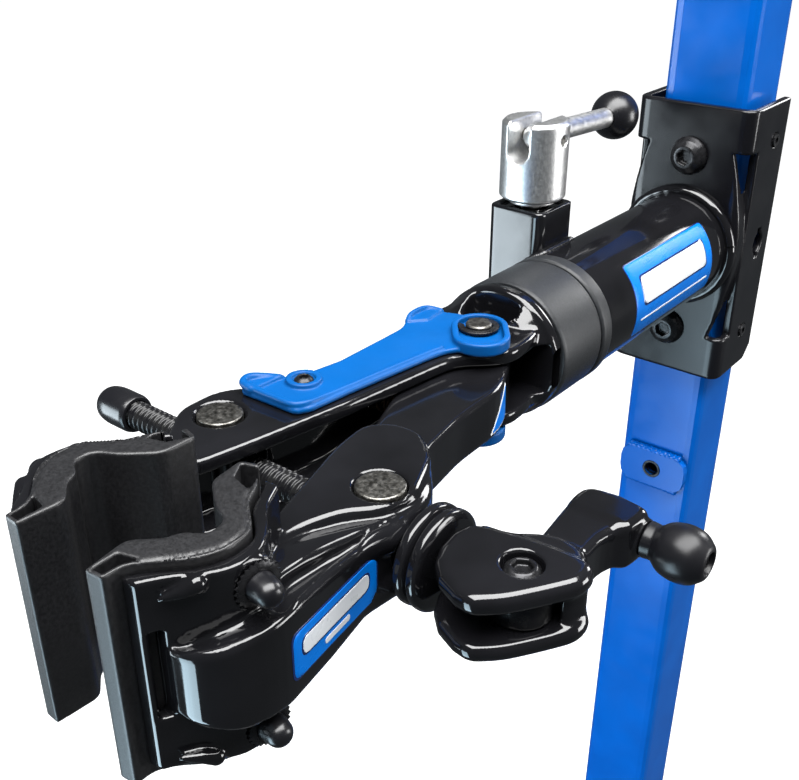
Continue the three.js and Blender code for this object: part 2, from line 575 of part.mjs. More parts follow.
// ---- cam handle ---------------------------------------------------------------------------
const camPlan = [[-187, -81, 3], [-195, -79.5], [-203, -80.8], [-210, -84.2], [-215.6, -90], [-219, -98],
  [-220, -105, 5], [-213, -113, 8],
  [-201, -121, 8], [-190, -127.5, 7], [-180, -126, 6], [-181, -104, 8], [-184, -86, 6]];
const camArmPlan = [[-192, -122, 4], [-192, -106], [-180, -101, 8], [-150, -97, 10], [-137, -97, 7],
  [-135, -110], [-137, -123, 5], [-146, -123, 5], [-158, -117, 8], [-176, -118, 6], [-184, -124]];

function camHandle() {
  const { half, slot, bolt, y } = CAM;
  const block = slab(camPlan, -half, half);
  const bar = slab(camArmPlan, -9, 9);
  const neck = turned([[0, -124], [7, -124], [7, -119], [0, -119]], 'y', [KNOB.x, 0, 0], 20);
  const slotPlan = [[-230, -70], [-183, -70], [-183, -119, 8], [-208, -123, 8], [-230, -123]];
  const slotRoom = slab(slotPlan, -slot, slot);
  const boltHole = rod(bolt + GAP, -20, 20, 'z', [PIN_X, y, 0], 16);
  const sinkTop = rod(9, half - 5, half + 1, 'z', [PIN_X, y, 0], 24);
  const sinkLow = rod(9, -half - 1, 5 - half, 'z', [PIN_X, y, 0], 24);
  const knobScrewHole = rod(2.5 + GAP, -126, -108, 'y', [KNOB.x, 0, 0], 12);
  return cut(joined([block, bar, neck]), [slotRoom, boltHole, sinkTop, sinkLow, knobScrewHole]);
}

function camBolt() {
  const centre = [PIN_X, CAM.y, 0];
  const head = rod(8, 8.8, 13, 'z', centre, 24);
  const nut = rod(8, -13, -8.8, 'z', centre, 24);
  const socket = hexagon(3.6, 10, 14, 'z', centre);
  return joined([head, rod(CAM.bolt, -12, 12, 'z', centre, 16), nut]).subtract(socket);
}

function handleKnob() {
  const { x, radius, centre } = KNOB;
  const bore = 2.5 + GAP;
  const profile = [[bore, centre - 9.6], [4.5, centre - 9.6], [radius - 1.8, centre - 6],
    [radius, centre - 1], [radius - 0.6, centre + 3.5], [radius - 3.4, centre + 8], [6, centre + 10.5],
    [7.2, -124.4], [bore, -124.4], [bore, centre - 9.6]];
  return turned(profile, 'y', [x, 0, 0], 28);
}

function knobScrew() {
  return rod(2.5, KNOB.centre - 8, -109, 'y', [KNOB.x, 0, 0], 12);
}

// ---- swinging arm ---------------------------------------------------------------------------
const nearTopPlan = [[-156, -38, 6], [-157, -24, 8], [-166, -16, 8], [-184, -18.5, 6], [-236, -34.7],
  [-243, -41.8], [-247, -45, 4], [-229, -45, 6], [-214, -50.5, 6], [-206, -59, 6], [-190, -62, 6],
  [-168, -52, 8]];
const nearBandPlan = [[-158, -38, 6], [-159, -24, 8], [-167, -17, 8], [-184, -19.5, 6], [-236, -35.5],
  [-243, -43.5], [-249.5, -47.5], [-254, -56.5], [-266, -62], [-280.5, -56.6], [-284.5, -50],
  [-291, -50, 2], [-289, -58, 5], [-283, -67.5, 7], [-268, -71.5, 8], [-240, -67], [-213, -63.5, 10],
  [-196, -66, 6], [-181, -62, 8], [-168, -51, 8]];
const tonguePlan = [[-60, -15, 14], [-57, 3, 14], [-70, 14.5, 12], [-88, 10, 10], [-130, -2, 10],
  [-170, -18],
  [-170, -46], [-156, -40, 6], [-127, -35, 6], [-96, -34, 10], [-78, -25, 12]];

function nearArm() {
  const top = slab(nearTopPlan, -ARM_HALF, ARM_HALF);
  const band = slab(nearBandPlan, -WALL_HALF, WALL_HALF);
  const tongue = slab(tonguePlan, -TONGUE_HALF, TONGUE_HALF);
  const pocket = slab([[-208, -10], [-208, -52, 3], [-250, -61, 4], [-262, -64.8, 2], [-262, -66.5, 2],
    [-238, -62, 4], [-208, -58], [-178, -58], [-178, -10]], -TONGUE_HALF, TONGUE_HALF);
  const hubSlot = box([PIN_X - 11.8, -80, -10], [PIN_X + 11.8, NEAR_PIN_Y, 10]);
  const rodSlot = box([PIN_X - 10, NEAR_PIN_Y, -8], [PIN_X + 10, 0, 8]);
  const pivotHole = rod(PIVOT.radius + GAP, -30, 30, 'z', [PIVOT.x, PIVOT.y, 0], 20);
  return cut(joined([top, band, tongue, jawPlate(NEAR_JAW)]),
    [pocket, hubSlot, rodSlot, pivotHole, ...trunnionRoom(NEAR_PIN_Y)]);
}

// ---- assembly -------------------------------------------------------------------------------
const stand = new THREE.Group();
const arm = new THREE.Group();
arm.position.set(-ARM_REACH, 0, ARM_HEIGHT);

function buildStand() {
  piece('base_plate', basePlate(), BASE_PAINT, stand);
  piece('foot_flange', footFlange(), BLUE_PAINT, stand);
  baseBoltPlaces().forEach(([x, y], i) =>
    piece(`base_bolt_${i + 1}`, baseBolt(x, y), BLACK_STEEL, stand));
  piece('mast_tube', mastTube(), BLUE_PAINT, stand);
  piece('mast_cap', mastCap(), BLACK_KNOB, stand);
  stand.add(arm);
}

function buildArm() {
  piece('mount_bracket', mountBracket(), DARK_SATIN, arm);
  SCREW_HEIGHTS.forEach((z, i) =>
    piece(`bracket_screw_${i + 1}`, bracketScrew(z), BLACK_STEEL, arm));
  SET_SCREWS.forEach((spot, i) => {
    piece(`near_set_screw_${i + 1}`, setScrew(-1, spot), BLACK_STEEL, arm);
    piece(`far_set_screw_${i + 1}`, setScrew(1, spot), BLACK_STEEL, arm);
  });
  piece('arm_tube', armTube(), BLACK_PAINT, arm);
  piece('front_bushing', frontBushing(), COLLAR_PLASTIC, arm);
  piece('rear_bushing', rearBushing(), COLLAR_PLASTIC, arm);
}

function buildLock() {
  piece('lock_housing', lockHousing(), BLACK_PAINT, arm);
  piece('lock_wedge_upper', lockWedge(1), SATIN_STEEL, arm);
  piece('lock_wedge_lower', lockWedge(-1), SATIN_STEEL, arm);
  piece('lock_sleeve', lockSleeve(), PIN_STEEL, arm);
  piece('lock_nut', lockNut(), BLACK_STEEL, arm);
  piece('lock_bolt', lockBolt(), SATIN_STEEL, arm);
  piece('lock_cap', lockCap(), SATIN_STEEL, arm);
  piece('lock_lever_pin', lockPin(), PIN_STEEL, arm);
  leverGroup(arm);
}

function buildHead() {
  piece('clamp_body', clampBody(), BLACK_PAINT, arm);
  piece('clamp_shaft', clampShaft(), SATIN_STEEL, arm);
  piece('shaft_collar', shaftCollar(), BLACK_STEEL, arm);
  piece('head_collar', headCollar(), COLLAR_PLASTIC, arm);
  piece('cover_top', cover(1), BLUE_PLASTIC, arm);
  piece('cover_bottom', cover(-1), BLUE_PLASTIC, arm);
  piece('cover_screw_top', coverScrew(1), BLACK_STEEL, arm);
  piece('cover_screw_bottom', coverScrew(-1), BLACK_STEEL, arm);
  piece('pivot_pin', pivotPin(), PIN_STEEL, arm);
  piece('pivot_clip_top', pivotClip(1), BLACK_STEEL, arm);
  piece('pivot_clip_bottom', pivotClip(-1), BLACK_STEEL, arm);
}

function buildJaws() {
  [['far', FAR_JAW], ['near', NEAR_JAW]].forEach(([side, jaw]) => {
    piece(`${side}_pad`, pad(jaw), PAD_PLASTIC, arm);
    piece(`${side}_pad_nut_upper`, padNut(jaw, NUT_SEAT.height), BLACK_STEEL, arm);
    piece(`${side}_pad_nut_lower`, padNut(jaw, -NUT_SEAT.height), BLACK_STEEL, arm);
  });
  piece('near_arm', nearArm(), BLACK_PAINT, arm);
}

function buildScrew() {
  piece('far_trunnion', farTrunnion(), PIN_STEEL, arm);
  piece('near_trunnion', nearTrunnion(), PIN_STEEL, arm);
  piece('adjust_rod', adjustRod(), BLACK_STEEL, arm);
  piece('rod_end_cap', rodEndCap(), BLACK_KNOB, arm);
  piece('thrust_disc_inner', thrustDisc(0), BLACK_STEEL, arm);
  piece('thrust_disc_outer', thrustDisc(1), BLACK_STEEL, arm);
  piece('cam_handle', camHandle(), BLACK_PAINT, arm);
  piece('cam_bolt', camBolt(), BLACK_STEEL, arm);
  piece('handle_knob', handleKnob(), BLACK_KNOB, arm);
  piece('knob_screw', knobScrew(), BLACK_STEEL, arm);
}

buildStand();
buildArm();
buildLock();
buildHead();
buildJaws();
buildScrew();

export default stand;
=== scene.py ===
"""Bike repair stand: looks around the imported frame. Lengths are mm until mesh_piece()."""
import math
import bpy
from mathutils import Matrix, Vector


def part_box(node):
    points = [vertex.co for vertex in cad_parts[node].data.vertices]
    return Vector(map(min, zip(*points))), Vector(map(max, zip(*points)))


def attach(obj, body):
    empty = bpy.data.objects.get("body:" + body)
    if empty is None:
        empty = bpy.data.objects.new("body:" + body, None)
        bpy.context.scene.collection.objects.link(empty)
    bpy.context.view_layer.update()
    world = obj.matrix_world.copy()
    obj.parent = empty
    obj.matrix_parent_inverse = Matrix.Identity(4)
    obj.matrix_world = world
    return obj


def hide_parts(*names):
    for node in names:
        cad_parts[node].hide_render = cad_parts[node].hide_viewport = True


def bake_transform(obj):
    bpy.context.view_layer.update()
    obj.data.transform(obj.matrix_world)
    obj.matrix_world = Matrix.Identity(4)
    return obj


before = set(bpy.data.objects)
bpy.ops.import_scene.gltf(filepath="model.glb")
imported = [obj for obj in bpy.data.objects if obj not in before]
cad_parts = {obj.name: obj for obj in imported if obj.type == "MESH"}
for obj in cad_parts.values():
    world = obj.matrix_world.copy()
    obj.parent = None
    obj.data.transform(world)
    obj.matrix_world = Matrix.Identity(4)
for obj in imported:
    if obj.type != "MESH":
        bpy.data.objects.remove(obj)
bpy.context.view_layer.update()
from concurrent.futures import ThreadPoolExecutor

import bmesh
import bpy
import numpy as np
from mathutils import Vector

MM = 0.001
AXES = {"x": (1, 2, 0), "y": (0, 2, 1), "z": (0, 1, 2)}  # two across, one along


# ---- places, all from the frame ----
def node_box(name):
    """A node's box in millimetres."""
    low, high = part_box(name)
    return np.array(low) / MM, np.array(high) / MM


COLLAR_BACK = 7.0  # from the collar's rear face to the end of the arm tube


def arm_origin():
    """The arm frame's origin: on the arm's axis, at the front end of the arm tube."""
    low, high = node_box("head_collar")
    return np.array([high[0] + COLLAR_BACK, 0.0, (low[2] + high[2]) / 2])


ARM = arm_origin()


# ---- camera ----
def make_camera():
    data = bpy.data.cameras.new("camera")
    data.sensor_width = 36.0
    data.lens = 46.7
    data.clip_start = 0.01
    data.clip_end = 60.0
    camera = bpy.data.objects.new("camera", data)
    bpy.context.scene.collection.objects.link(camera)
    camera.location = Vector(ARM + np.array([-423.9, -241.9, 212.7])) * MM
    pitch, heading = math.radians(27.7), math.radians(38.8)
    ahead = Vector((math.cos(pitch) * math.cos(heading), math.cos(pitch) * math.sin(heading),
        -math.sin(pitch)))
    camera.rotation_euler = ahead.to_track_quat("-Z", "Y").to_euler()
    bpy.context.scene.camera = camera


# ---- signed distances: every shape takes points (n, 3) in the arm frame ----
class Shape:
    """A signed distance with a box that holds the whole shape, so far points can be skipped."""

    def __init__(self, distance, low, high):
        self.distance = distance
        self.low, self.high = np.array(low, float), np.array(high, float)

    def __call__(self, p):
        return self.distance(p)

    def at_least(self, p):
        """No point is nearer to the shape than this."""
        return np.linalg.norm(np.maximum(np.maximum(self.low - p, p - self.high), 0), axis=1)


def along(axis, centre, radius, low, high):
    """The box round a body of revolution."""
    a, b, c = AXES[axis]
    corners = np.zeros((2, 3))
    corners[0, [a, b, c]] = centre[a] - radius, centre[b] - radius, low
    corners[1, [a, b, c]] = centre[a] + radius, centre[b] + radius, high
    return corners


def corner(back, here, on, share, steps):
    """A corner's points, rounded by its third number, but by no more than a share of each side."""
    middle = np.array(here[:2])
    if len(here) < 3 or here[2] <= 0:
        return [middle]
    back, on = np.array(back[:2]) - middle, np.array(on[:2]) - middle
    reach = min(here[2], share * np.hypot(*back), share * np.hypot(*on))
    start = middle + back / np.hypot(*back) * reach
    end = middle + on / np.hypot(*on) * reach
    return [(1 - t) ** 2 * start + 2 * t * (1 - t) * middle + t * t * end
        for t in np.linspace(0, 1, steps + 1)]


def rounded(corners, steps=4):
    """An outline's points, each corner rounded by its third number."""
    points = []
    for i, here in enumerate(corners):
        points += corner(corners[i - 1], here, corners[(i + 1) % len(corners)], 0.49, steps)
    return np.array(points)


def polygon_distance(points, x, y):
    """Signed distance to a closed outline, negative inside."""
    best = np.full(x.shape, 1e18)
    inside = np.zeros(x.shape, bool)
    for a, b in zip(points, np.roll(points, -1, axis=0)):
        ex, ey = b - a
        px, py = x - a[0], y - a[1]
        t = np.clip((px * ex + py * ey) / (ex * ex + ey * ey + 1e-12), 0, 1)
        best = np.minimum(best, (px - t * ex) ** 2 + (py - t * ey) ** 2)
        crosses = (a[1] > y) != (b[1] > y)
        if ey != 0:
            inside ^= crosses & (px < ex * (y - a[1]) / ey)
    return np.where(inside, -1, 1) * np.sqrt(best)


def rim(flat, deep, radius):
    """Joins an outline's distance and a height's distance with a rounded edge."""
    a, b = flat + radius, deep + radius
    return np.minimum(np.maximum(a, b), 0) + np.hypot(np.maximum(a, 0), np.maximum(b, 0)) - radius


def slab(corners, low, high, radius=1.0, axis="z"):
    """An outline between two places along an axis, with rounded edges."""
    points = rounded(corners)
    a, b, c = AXES[axis]
    middle, half = (low + high) / 2, (high - low) / 2

    def distance(p):
        flat = polygon_distance(points, p[:, a], p[:, b])
        return rim(flat, np.abs(p[:, c] - middle) - half, radius)
    box = np.zeros((2, 3))
    box[:, [a, b]] = points.min(axis=0), points.max(axis=0)
    box[:, c] = low, high
    return Shape(distance, *box)


def rod(axis, centre, radius, low, high, edge=0.8):
    a, b, c = AXES[axis]
    middle, half = (low + high) / 2, (high - low) / 2

    def distance(p):
        flat = np.hypot(p[:, a] - centre[a], p[:, b] - centre[b]) - radius
        return rim(flat, np.abs(p[:, c] - middle) - half, edge)
    return Shape(distance, *along(axis, centre, radius, low, high))


def turned(axis, centre, profile, edge=0.0):
    """A body of revolution from [radius, height] pairs."""
    a, b, c = AXES[axis]
    points = np.array(profile, float)

    def distance(p):
        radius = np.hypot(p[:, a] - centre[a], p[:, b] - centre[b])
        return polygon_distance(points, radius, p[:, c]) - edge
    widest, high = points.max(axis=0) + edge
    return Shape(distance, *along(axis, centre, widest, points[:, 1].min() - edge, high))


def block(low, high, edge=0.8):
    low, high = np.array(low, float), np.array(high, float)
    middle, half = (low + high) / 2, (high - low) / 2 - edge

    def distance(p):
        q = np.abs(p - middle) - half
        return np.linalg.norm(np.maximum(q, 0), axis=1) + np.minimum(q.max(axis=1), 0) - edge
    return Shape(distance, low, high)


def cord_of(path, radii):
    """A round bead along a path, its radius going from point to point."""
    path = np.array(path, float)
    radii = np.broadcast_to(np.array(radii, float), (len(path),))

    def distance(p):
        best = np.full(len(p), 1e9)
        for a, b, ra, rb in zip(path[:-1], path[1:], radii[:-1], radii[1:]):
            d = b - a
            t = np.clip((p - a) @ d / (d @ d), 0, 1)
            gap = np.linalg.norm(p - a - t[:, None] * d, axis=1) - (ra + t * (rb - ra))
            best = np.minimum(best, gap)
        return best
    widest = radii.max()
    return Shape(distance, path.min(axis=0) - widest, path.max(axis=0) + widest)


def smooth_path(points, count=24):
    """Points along a Catmull-Rom curve."""
    points = np.array(points, float)
    ends = np.vstack([2 * points[0] - points[1], points, 2 * points[-1] - points[-2]])
    out = []
    for i in range(len(points) - 1):
        p0, p1, p2, p3 = ends[i:i + 4]
        for t in np.linspace(0, 1, max(2, count // (len(points) - 1)), endpoint=False):
            out.append(0.5 * (2 * p1 + (p2 - p0) * t + (2 * p0 - 5 * p1 + 4 * p2 - p3) * t * t
                + (3 * p1 - p0 - 3 * p2 + p3) * t ** 3))
    return np.array(out + [points[-1]])


def blend_min(a, b, k):
    """The lesser of two distances, with a fillet of about k where they meet."""
    h = np.clip(0.5 + 0.5 * (b - a) / k, 0, 1)
    return b + (a - b) * h - k * h * (1 - h)


def joined(shapes, fillet=1.5):
    def distance(p):
        total = shapes[0](p)
        for shape in shapes[1:]:
            near = shape.at_least(p) < total + fillet
            total[near] = blend_min(total[near], shape(p[near]), fillet)
        return total
    return Shape(distance, np.min([shape.low for shape in shapes], axis=0) - fillet,
        np.max([shape.high for shape in shapes], axis=0) + fillet)


def cut(shape, tools, fillet=0.8):
    def distance(p):
        total = shape(p)
        for tool in tools:
            near = tool.at_least(p) < fillet - total
            total[near] = -blend_min(-total[near], tool(p[near]), fillet)
        return total
    return Shape(distance, shape.low, shape.high)


def common(a, b, fillet=0.8):
    return Shape(lambda p: -blend_min(-a(p), -b(p), fillet), np.maximum(a.low, b.low) - 1,
        np.minimum(a.high, b.high) + 1)


def mirrored(shape):
    """The shape turned over, top to bottom."""
    flip = np.array([1, 1, -1])
    return Shape(lambda p: shape(p * flip), (*shape.low[:2], -shape.high[2]),
        (*shape.high[:2], -shape.low[2]))


# ---- from distances to a mesh ----
BLOCK = 4
SHARE = 40000
WORKERS = ThreadPoolExecutor(4)


def worked_out(shape, points):
    """The shape's distance at many points, in shares on several threads."""
    parts = np.array_split(points, max(1, len(points) // SHARE))
    return np.concatenate(list(WORKERS.map(shape, parts)))


def sampled(shape, low, counts, step):
    """The field on a grid, worked out fully only in blocks near the surface."""
    blocks = -(-counts // BLOCK)
    corner = np.indices(blocks).reshape(3, -1).T * BLOCK
    centres = low + (corner + (BLOCK - 1) / 2) * step
    rough = worked_out(shape, centres)
    near = np.abs(rough) < 4.6 * step
    field = np.repeat(rough, BLOCK ** 3).reshape(*blocks, BLOCK, BLOCK, BLOCK)
    offsets = np.indices((BLOCK,) * 3).reshape(3, -1).T
    points = (corner[near][:, None, :] + offsets[None]).reshape(-1, 3)
    values = worked_out(shape, low + points * step)
    field = field.reshape(-1, BLOCK ** 3)
    field[near] = values.reshape(-1, BLOCK ** 3)
    field = field.reshape(*blocks, BLOCK, BLOCK, BLOCK).transpose(0, 3, 1, 4, 2, 5)
    return field.reshape(blocks * BLOCK)


CUBE = [(i, j, k) for i in (0, 1) for j in (0, 1) for k in (0, 1)]
CUBE_EDGES = [(a, b) for a in CUBE for b in CUBE if a < b
    and sum(abs(x - y) for x, y in zip(a, b)) == 1]


def surface_net(shape, low, high, step):
    """Vertices and quads of the shape's surface, the vertices pulled onto it."""
    low = np.array(low, float)
    counts = np.ceil((np.array(high, float) - low) / step).astype(int) + 2
    field = sampled(shape, low, counts, step)
    field[field == 0] = 1e-6
    inside = field < 0
    size = np.array(field.shape) - 1
    filled = sum(inside[i:i + size[0], j:j + size[1], k:k + size[2]].astype(np.int8) for i, j,
        k in CUBE)
    cells = np.argwhere((filled > 0) & (filled < 8))
    index = np.full(size, -1)
    index[tuple(cells.T)] = np.arange(len(cells))
    total, count = np.zeros((len(cells), 3)), np.zeros(len(cells))
    for a, b in CUBE_EDGES:
        fa = field[tuple((cells + a).T)]
        fb = field[tuple((cells + b).T)]
        hit = (fa < 0) != (fb < 0)
        t = np.where(hit, fa / np.where(hit, fa - fb, 1), 0)
        total += hit[:, None] * (np.array(a) + t[:, None] * (np.array(b) - np.array(a)))
        count += hit
    points = low + (cells + total / count[:, None]) * step
    quads = []
    for axis in range(3):
        one = np.eye(3, dtype=int)[axis]
        u, v = np.eye(3, dtype=int)[(axis + 1) % 3], np.eye(3, dtype=int)[(axis + 2) % 3]
        first = inside[:size[0], :size[1], :size[2]]
        second = inside[one[0]:size[0] + one[0], one[1]:size[1] + one[1], one[2]:size[2] + one[2]]
        edges = np.argwhere(first != second)
        edges = edges[(edges @ u > 0) & (edges @ v > 0)]
        quad = np.stack([index[tuple((edges - s * u - t * v).T)] for s,
            t in ((1, 1), (0, 1), (0, 0), (1, 0))], axis=1)
        flip = ~first[tuple(edges.T)]
        quad[flip] = quad[flip][:, ::-1]
        quads.append(quad)
    quads = np.vstack(quads)
    quads = quads[(quads >= 0).all(axis=1)]
    for _ in range(2):
        points = pulled(shape, points, step)
    return points, quads


def pulled(shape, points, step):
    """One Newton step towards the surface, no longer than half a cell."""
    nudge = 0.05
    slope = np.stack([worked_out(shape, points + d) - worked_out(shape, points - d)
        for d in np.eye(3) * nudge], axis=1) / (2 * nudge)
    length = np.maximum((slope ** 2).sum(axis=1), 0.1)
    move = -worked_out(shape, points)[:, None] * slope / length[:, None]
    size = np.linalg.norm(move, axis=1)
    move *= np.minimum(1, 0.5 * step / np.maximum(size, 1e-9))[:, None]
    return points + move


def mesh_piece(name, points, faces, material, body, stands_for=()):
    """A piece from points in millimetres and faces, riding on a body unless that is None."""
    data = bpy.data.meshes.new(name)
    place = (np.asarray(points) + ARM) * MM
    data.from_pydata(place.tolist(), [], [list(map(int, f)) for f in faces])
    data.update()
    data.polygons.foreach_set("use_smooth", [True] * len(data.polygons))
    piece = bpy.data.objects.new(name, data)
    bpy.context.scene.collection.objects.link(piece)
    data.materials.append(material)
    if body:
        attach(piece, body)
    if stands_for:
        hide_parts(*stands_for)
    return piece


def moulded(name, shape, low, high, step, material, body, stands_for=()):
    points, quads = surface_net(shape, low, high, step)
    return mesh_piece(name, points, quads, material, body, stands_for)


# ---- materials ----
def noise(tree, scale, detail):
    place = tree.nodes.new("ShaderNodeTexCoord")
    texture = tree.nodes.new("ShaderNodeTexNoise")
    texture.inputs["Scale"].default_value = scale
    texture.inputs["Detail"].default_value = detail
    tree.links.new(place.outputs["Object"], texture.inputs["Vector"])
    return texture.outputs["Fac"]


def ramp(tree, source, stops):
    node = tree.nodes.new("ShaderNodeValToRGB")
    while len(node.color_ramp.elements) < len(stops):
        node.color_ramp.elements.new(0.5)
    for element, (place, colour) in zip(node.color_ramp.elements, stops):
        element.position = place
        element.color = (*colour, 1.0)
    tree.links.new(source, node.inputs["Fac"])
    return node.outputs["Color"]


def finish(name, dark, light, rough, metal=0.0, patch=30.0, grain=1500.0, height=0.01, detail=3.0,
        specular=0.5):
    """A surface whose colour, roughness and relief vary: dark to light, rough[0] to rough[1]."""
    material = bpy.data.materials.new(name)
    material.use_nodes = True
    tree = material.node_tree
    shader = tree.nodes["Principled BSDF"]
    shader.inputs["Metallic"].default_value = metal
    shader.inputs["Specular IOR Level"].default_value = specular
    colour = ramp(tree, noise(tree, patch, detail), [(0.35, dark), (0.68, light)])
    tree.links.new(colour, shader.inputs["Base Color"])
    spread = tree.nodes.new("ShaderNodeMapRange")
    for socket, value in zip(("From Min", "From Max", "To Min", "To Max"), (0.35, 0.65, *rough)):
        spread.inputs[socket].default_value = value
    tree.links.new(noise(tree, patch * 2.3, detail), spread.inputs["Value"])
    tree.links.new(spread.outputs["Result"], shader.inputs["Roughness"])
    relief = tree.nodes.new("ShaderNodeBump")
    relief.inputs["Strength"].default_value = 1.0
    relief.inputs["Distance"].default_value = height * MM
    tree.links.new(noise(tree, grain, 2.0), relief.inputs["Height"])
    tree.links.new(relief.outputs["Normal"], shader.inputs["Normal"])
    return material


GLOSS_BLACK = finish("gloss_black", (0.003, 0.003, 0.0035), (0.005, 0.005, 0.006), (0.07, 0.12),
    grain=260.0, height=0.006, specular=0.48)
SATIN_BLACK = finish("satin_black", (0.003, 0.003, 0.004), (0.005, 0.005, 0.006), (0.18, 0.25),
    grain=900.0, height=0.006, specular=0.28)
BASE_COAT = finish("base_coat", (0.012, 0.013, 0.015), (0.02, 0.021, 0.023), (0.4, 0.55),
    grain=1100.0, height=0.09)
GLOSS_BLUE = finish("gloss_blue", (0.0, 0.066, 0.31), (0.0, 0.078, 0.36), (0.16, 0.24), grain=300.0,
    height=0.008, specular=0.2)
BLUE_PLASTIC = finish("blue_plastic", (0.0, 0.045, 0.165), (0.0, 0.053, 0.195), (0.36, 0.46),
    grain=1600.0, height=0.006, specular=0.16)
PAD_PLASTIC = finish("pad_plastic", (0.003, 0.003, 0.0035), (0.009, 0.009, 0.01), (0.36, 0.5),
    patch=900.0, grain=2600.0, height=0.022, specular=0.45)
COLLAR_PLASTIC = finish("collar_plastic", (0.008, 0.009, 0.01), (0.014, 0.015, 0.017), (0.38, 0.5),
    patch=700.0, grain=2400.0, height=0.035, specular=0.28)
KNOB_BLACK = finish("knob_black", (0.003, 0.003, 0.004), (0.006, 0.006, 0.007), (0.26, 0.36),
    grain=1800.0, height=0.012, specular=0.25)
BALL_BLACK = finish("ball_black", (0.003, 0.003, 0.004), (0.006, 0.006, 0.007), (0.24, 0.32),
    grain=600.0, height=0.004, specular=0.4)
TURNED_STEEL = finish("turned_steel", (0.6, 0.6, 0.6), (0.76, 0.76, 0.75), (0.3, 0.42), metal=1.0,
    patch=500.0, grain=2200.0, height=0.03, detail=4.0)
BAR_STEEL = finish("bar_steel", (0.55, 0.55, 0.55), (0.75, 0.75, 0.74), (0.34, 0.46), metal=1.0,
    patch=300.0, grain=1800.0, height=0.03)
PIN_STEEL = finish("pin_steel", (0.045, 0.043, 0.038), (0.2, 0.194, 0.18), (0.34, 0.5), metal=1.0,
    patch=420.0, grain=700.0, height=0.14, detail=7.0)
BLACK_STEEL = finish("black_steel", (0.008, 0.008, 0.009), (0.024, 0.024, 0.026), (0.22, 0.36),
    metal=0.6, patch=200.0, grain=900.0, height=0.02)
SPRING_BRONZE = finish("spring_bronze", (0.1, 0.06, 0.035), (0.22, 0.14, 0.09), (0.28, 0.4),
    metal=1.0, patch=500.0, grain=1500.0, height=0.01)
THREAD_STEEL = finish("thread_steel", (0.004, 0.004, 0.005), (0.01, 0.01, 0.01), (0.16, 0.22),
    patch=300.0, grain=1200.0, height=0.004, specular=0.2)
LABEL_BLUE = finish("label_blue", (0.0, 0.09, 0.36), (0.0, 0.105, 0.42), (0.26, 0.34), patch=60.0,
    grain=500.0, height=0.003, specular=0.15)
LABEL_WHITE = finish("label_white", (0.4, 0.42, 0.44), (0.46, 0.48, 0.5), (0.26, 0.34), patch=60.0,
    grain=500.0, height=0.003)
LABEL_NAVY = finish("label_navy", (0.004, 0.012, 0.06), (0.006, 0.016, 0.08), (0.14, 0.2),
    patch=60.0, grain=500.0, height=0.003)


# ---- lathe, sweep and plate meshes ----
def grid_faces(rows, columns, closed=True):
    """Quads between rows of points; closed joins each row's last point to its first."""
    across = columns if closed else columns - 1
    return [(i * columns + j, i * columns + (j + 1) % columns,
        (i + 1) * columns + (j + 1) % columns, (i + 1) * columns + j) for i in range(rows - 1)
        for j in range(across)]


def spun(profile, axis, centre, segments=72):
    """Points and faces of a body of revolution; a profile corner's third number rounds it."""
    points = [profile[0][:2]]
    for back, here, on in zip(profile, profile[1:], profile[2:]):
        points += corner(back, here, on, 0.45, 4)
    points.append(profile[-1][:2])
    turn = np.linspace(0, 2 * math.pi, segments, endpoint=False)
    a, b, c = AXES[axis]
    out = np.zeros((len(points), segments, 3))
    for i, (r, h) in enumerate(points):
        out[i, :, a] = centre[a] + max(r, 0.001) * np.cos(turn)
        out[i, :, b] = centre[b] + max(r, 0.001) * np.sin(turn)
        out[i, :, c] = h
    faces = grid_faces(len(points), segments)
    if axis != "y":
        faces = [f[::-1] for f in faces]
    return out.reshape(-1, 3), faces


def lathe(name, profile, axis, centre, material, body, stands_for=(), segments=72):
    points, faces = spun(profile, axis, centre, segments)
    piece = mesh_piece(name, points, faces, material, body, stands_for)
    mend(piece, 0.0004 * MM)
    return piece


def mend(piece, distance):
    """Closes seams and turns all faces outward."""
    mesh = bmesh.new()
    mesh.from_mesh(piece.data)
    bmesh.ops.remove_doubles(mesh, verts=mesh.verts, dist=max(distance, 2e-6))
    bmesh.ops.recalc_face_normals(mesh, faces=mesh.faces)
    mesh.to_mesh(piece.data)
    mesh.free()
    crease(piece)


CRISP = math.radians(34.0)


def crease(piece):
    """Keeps edges sharper than CRISP crisp under smooth shading."""
    mesh = bmesh.new()
    mesh.from_mesh(piece.data)
    for edge in mesh.edges:
        edge.smooth = not (len(edge.link_faces) == 2 and edge.calc_face_angle(0) > CRISP)
    mesh.to_mesh(piece.data)
    mesh.free()


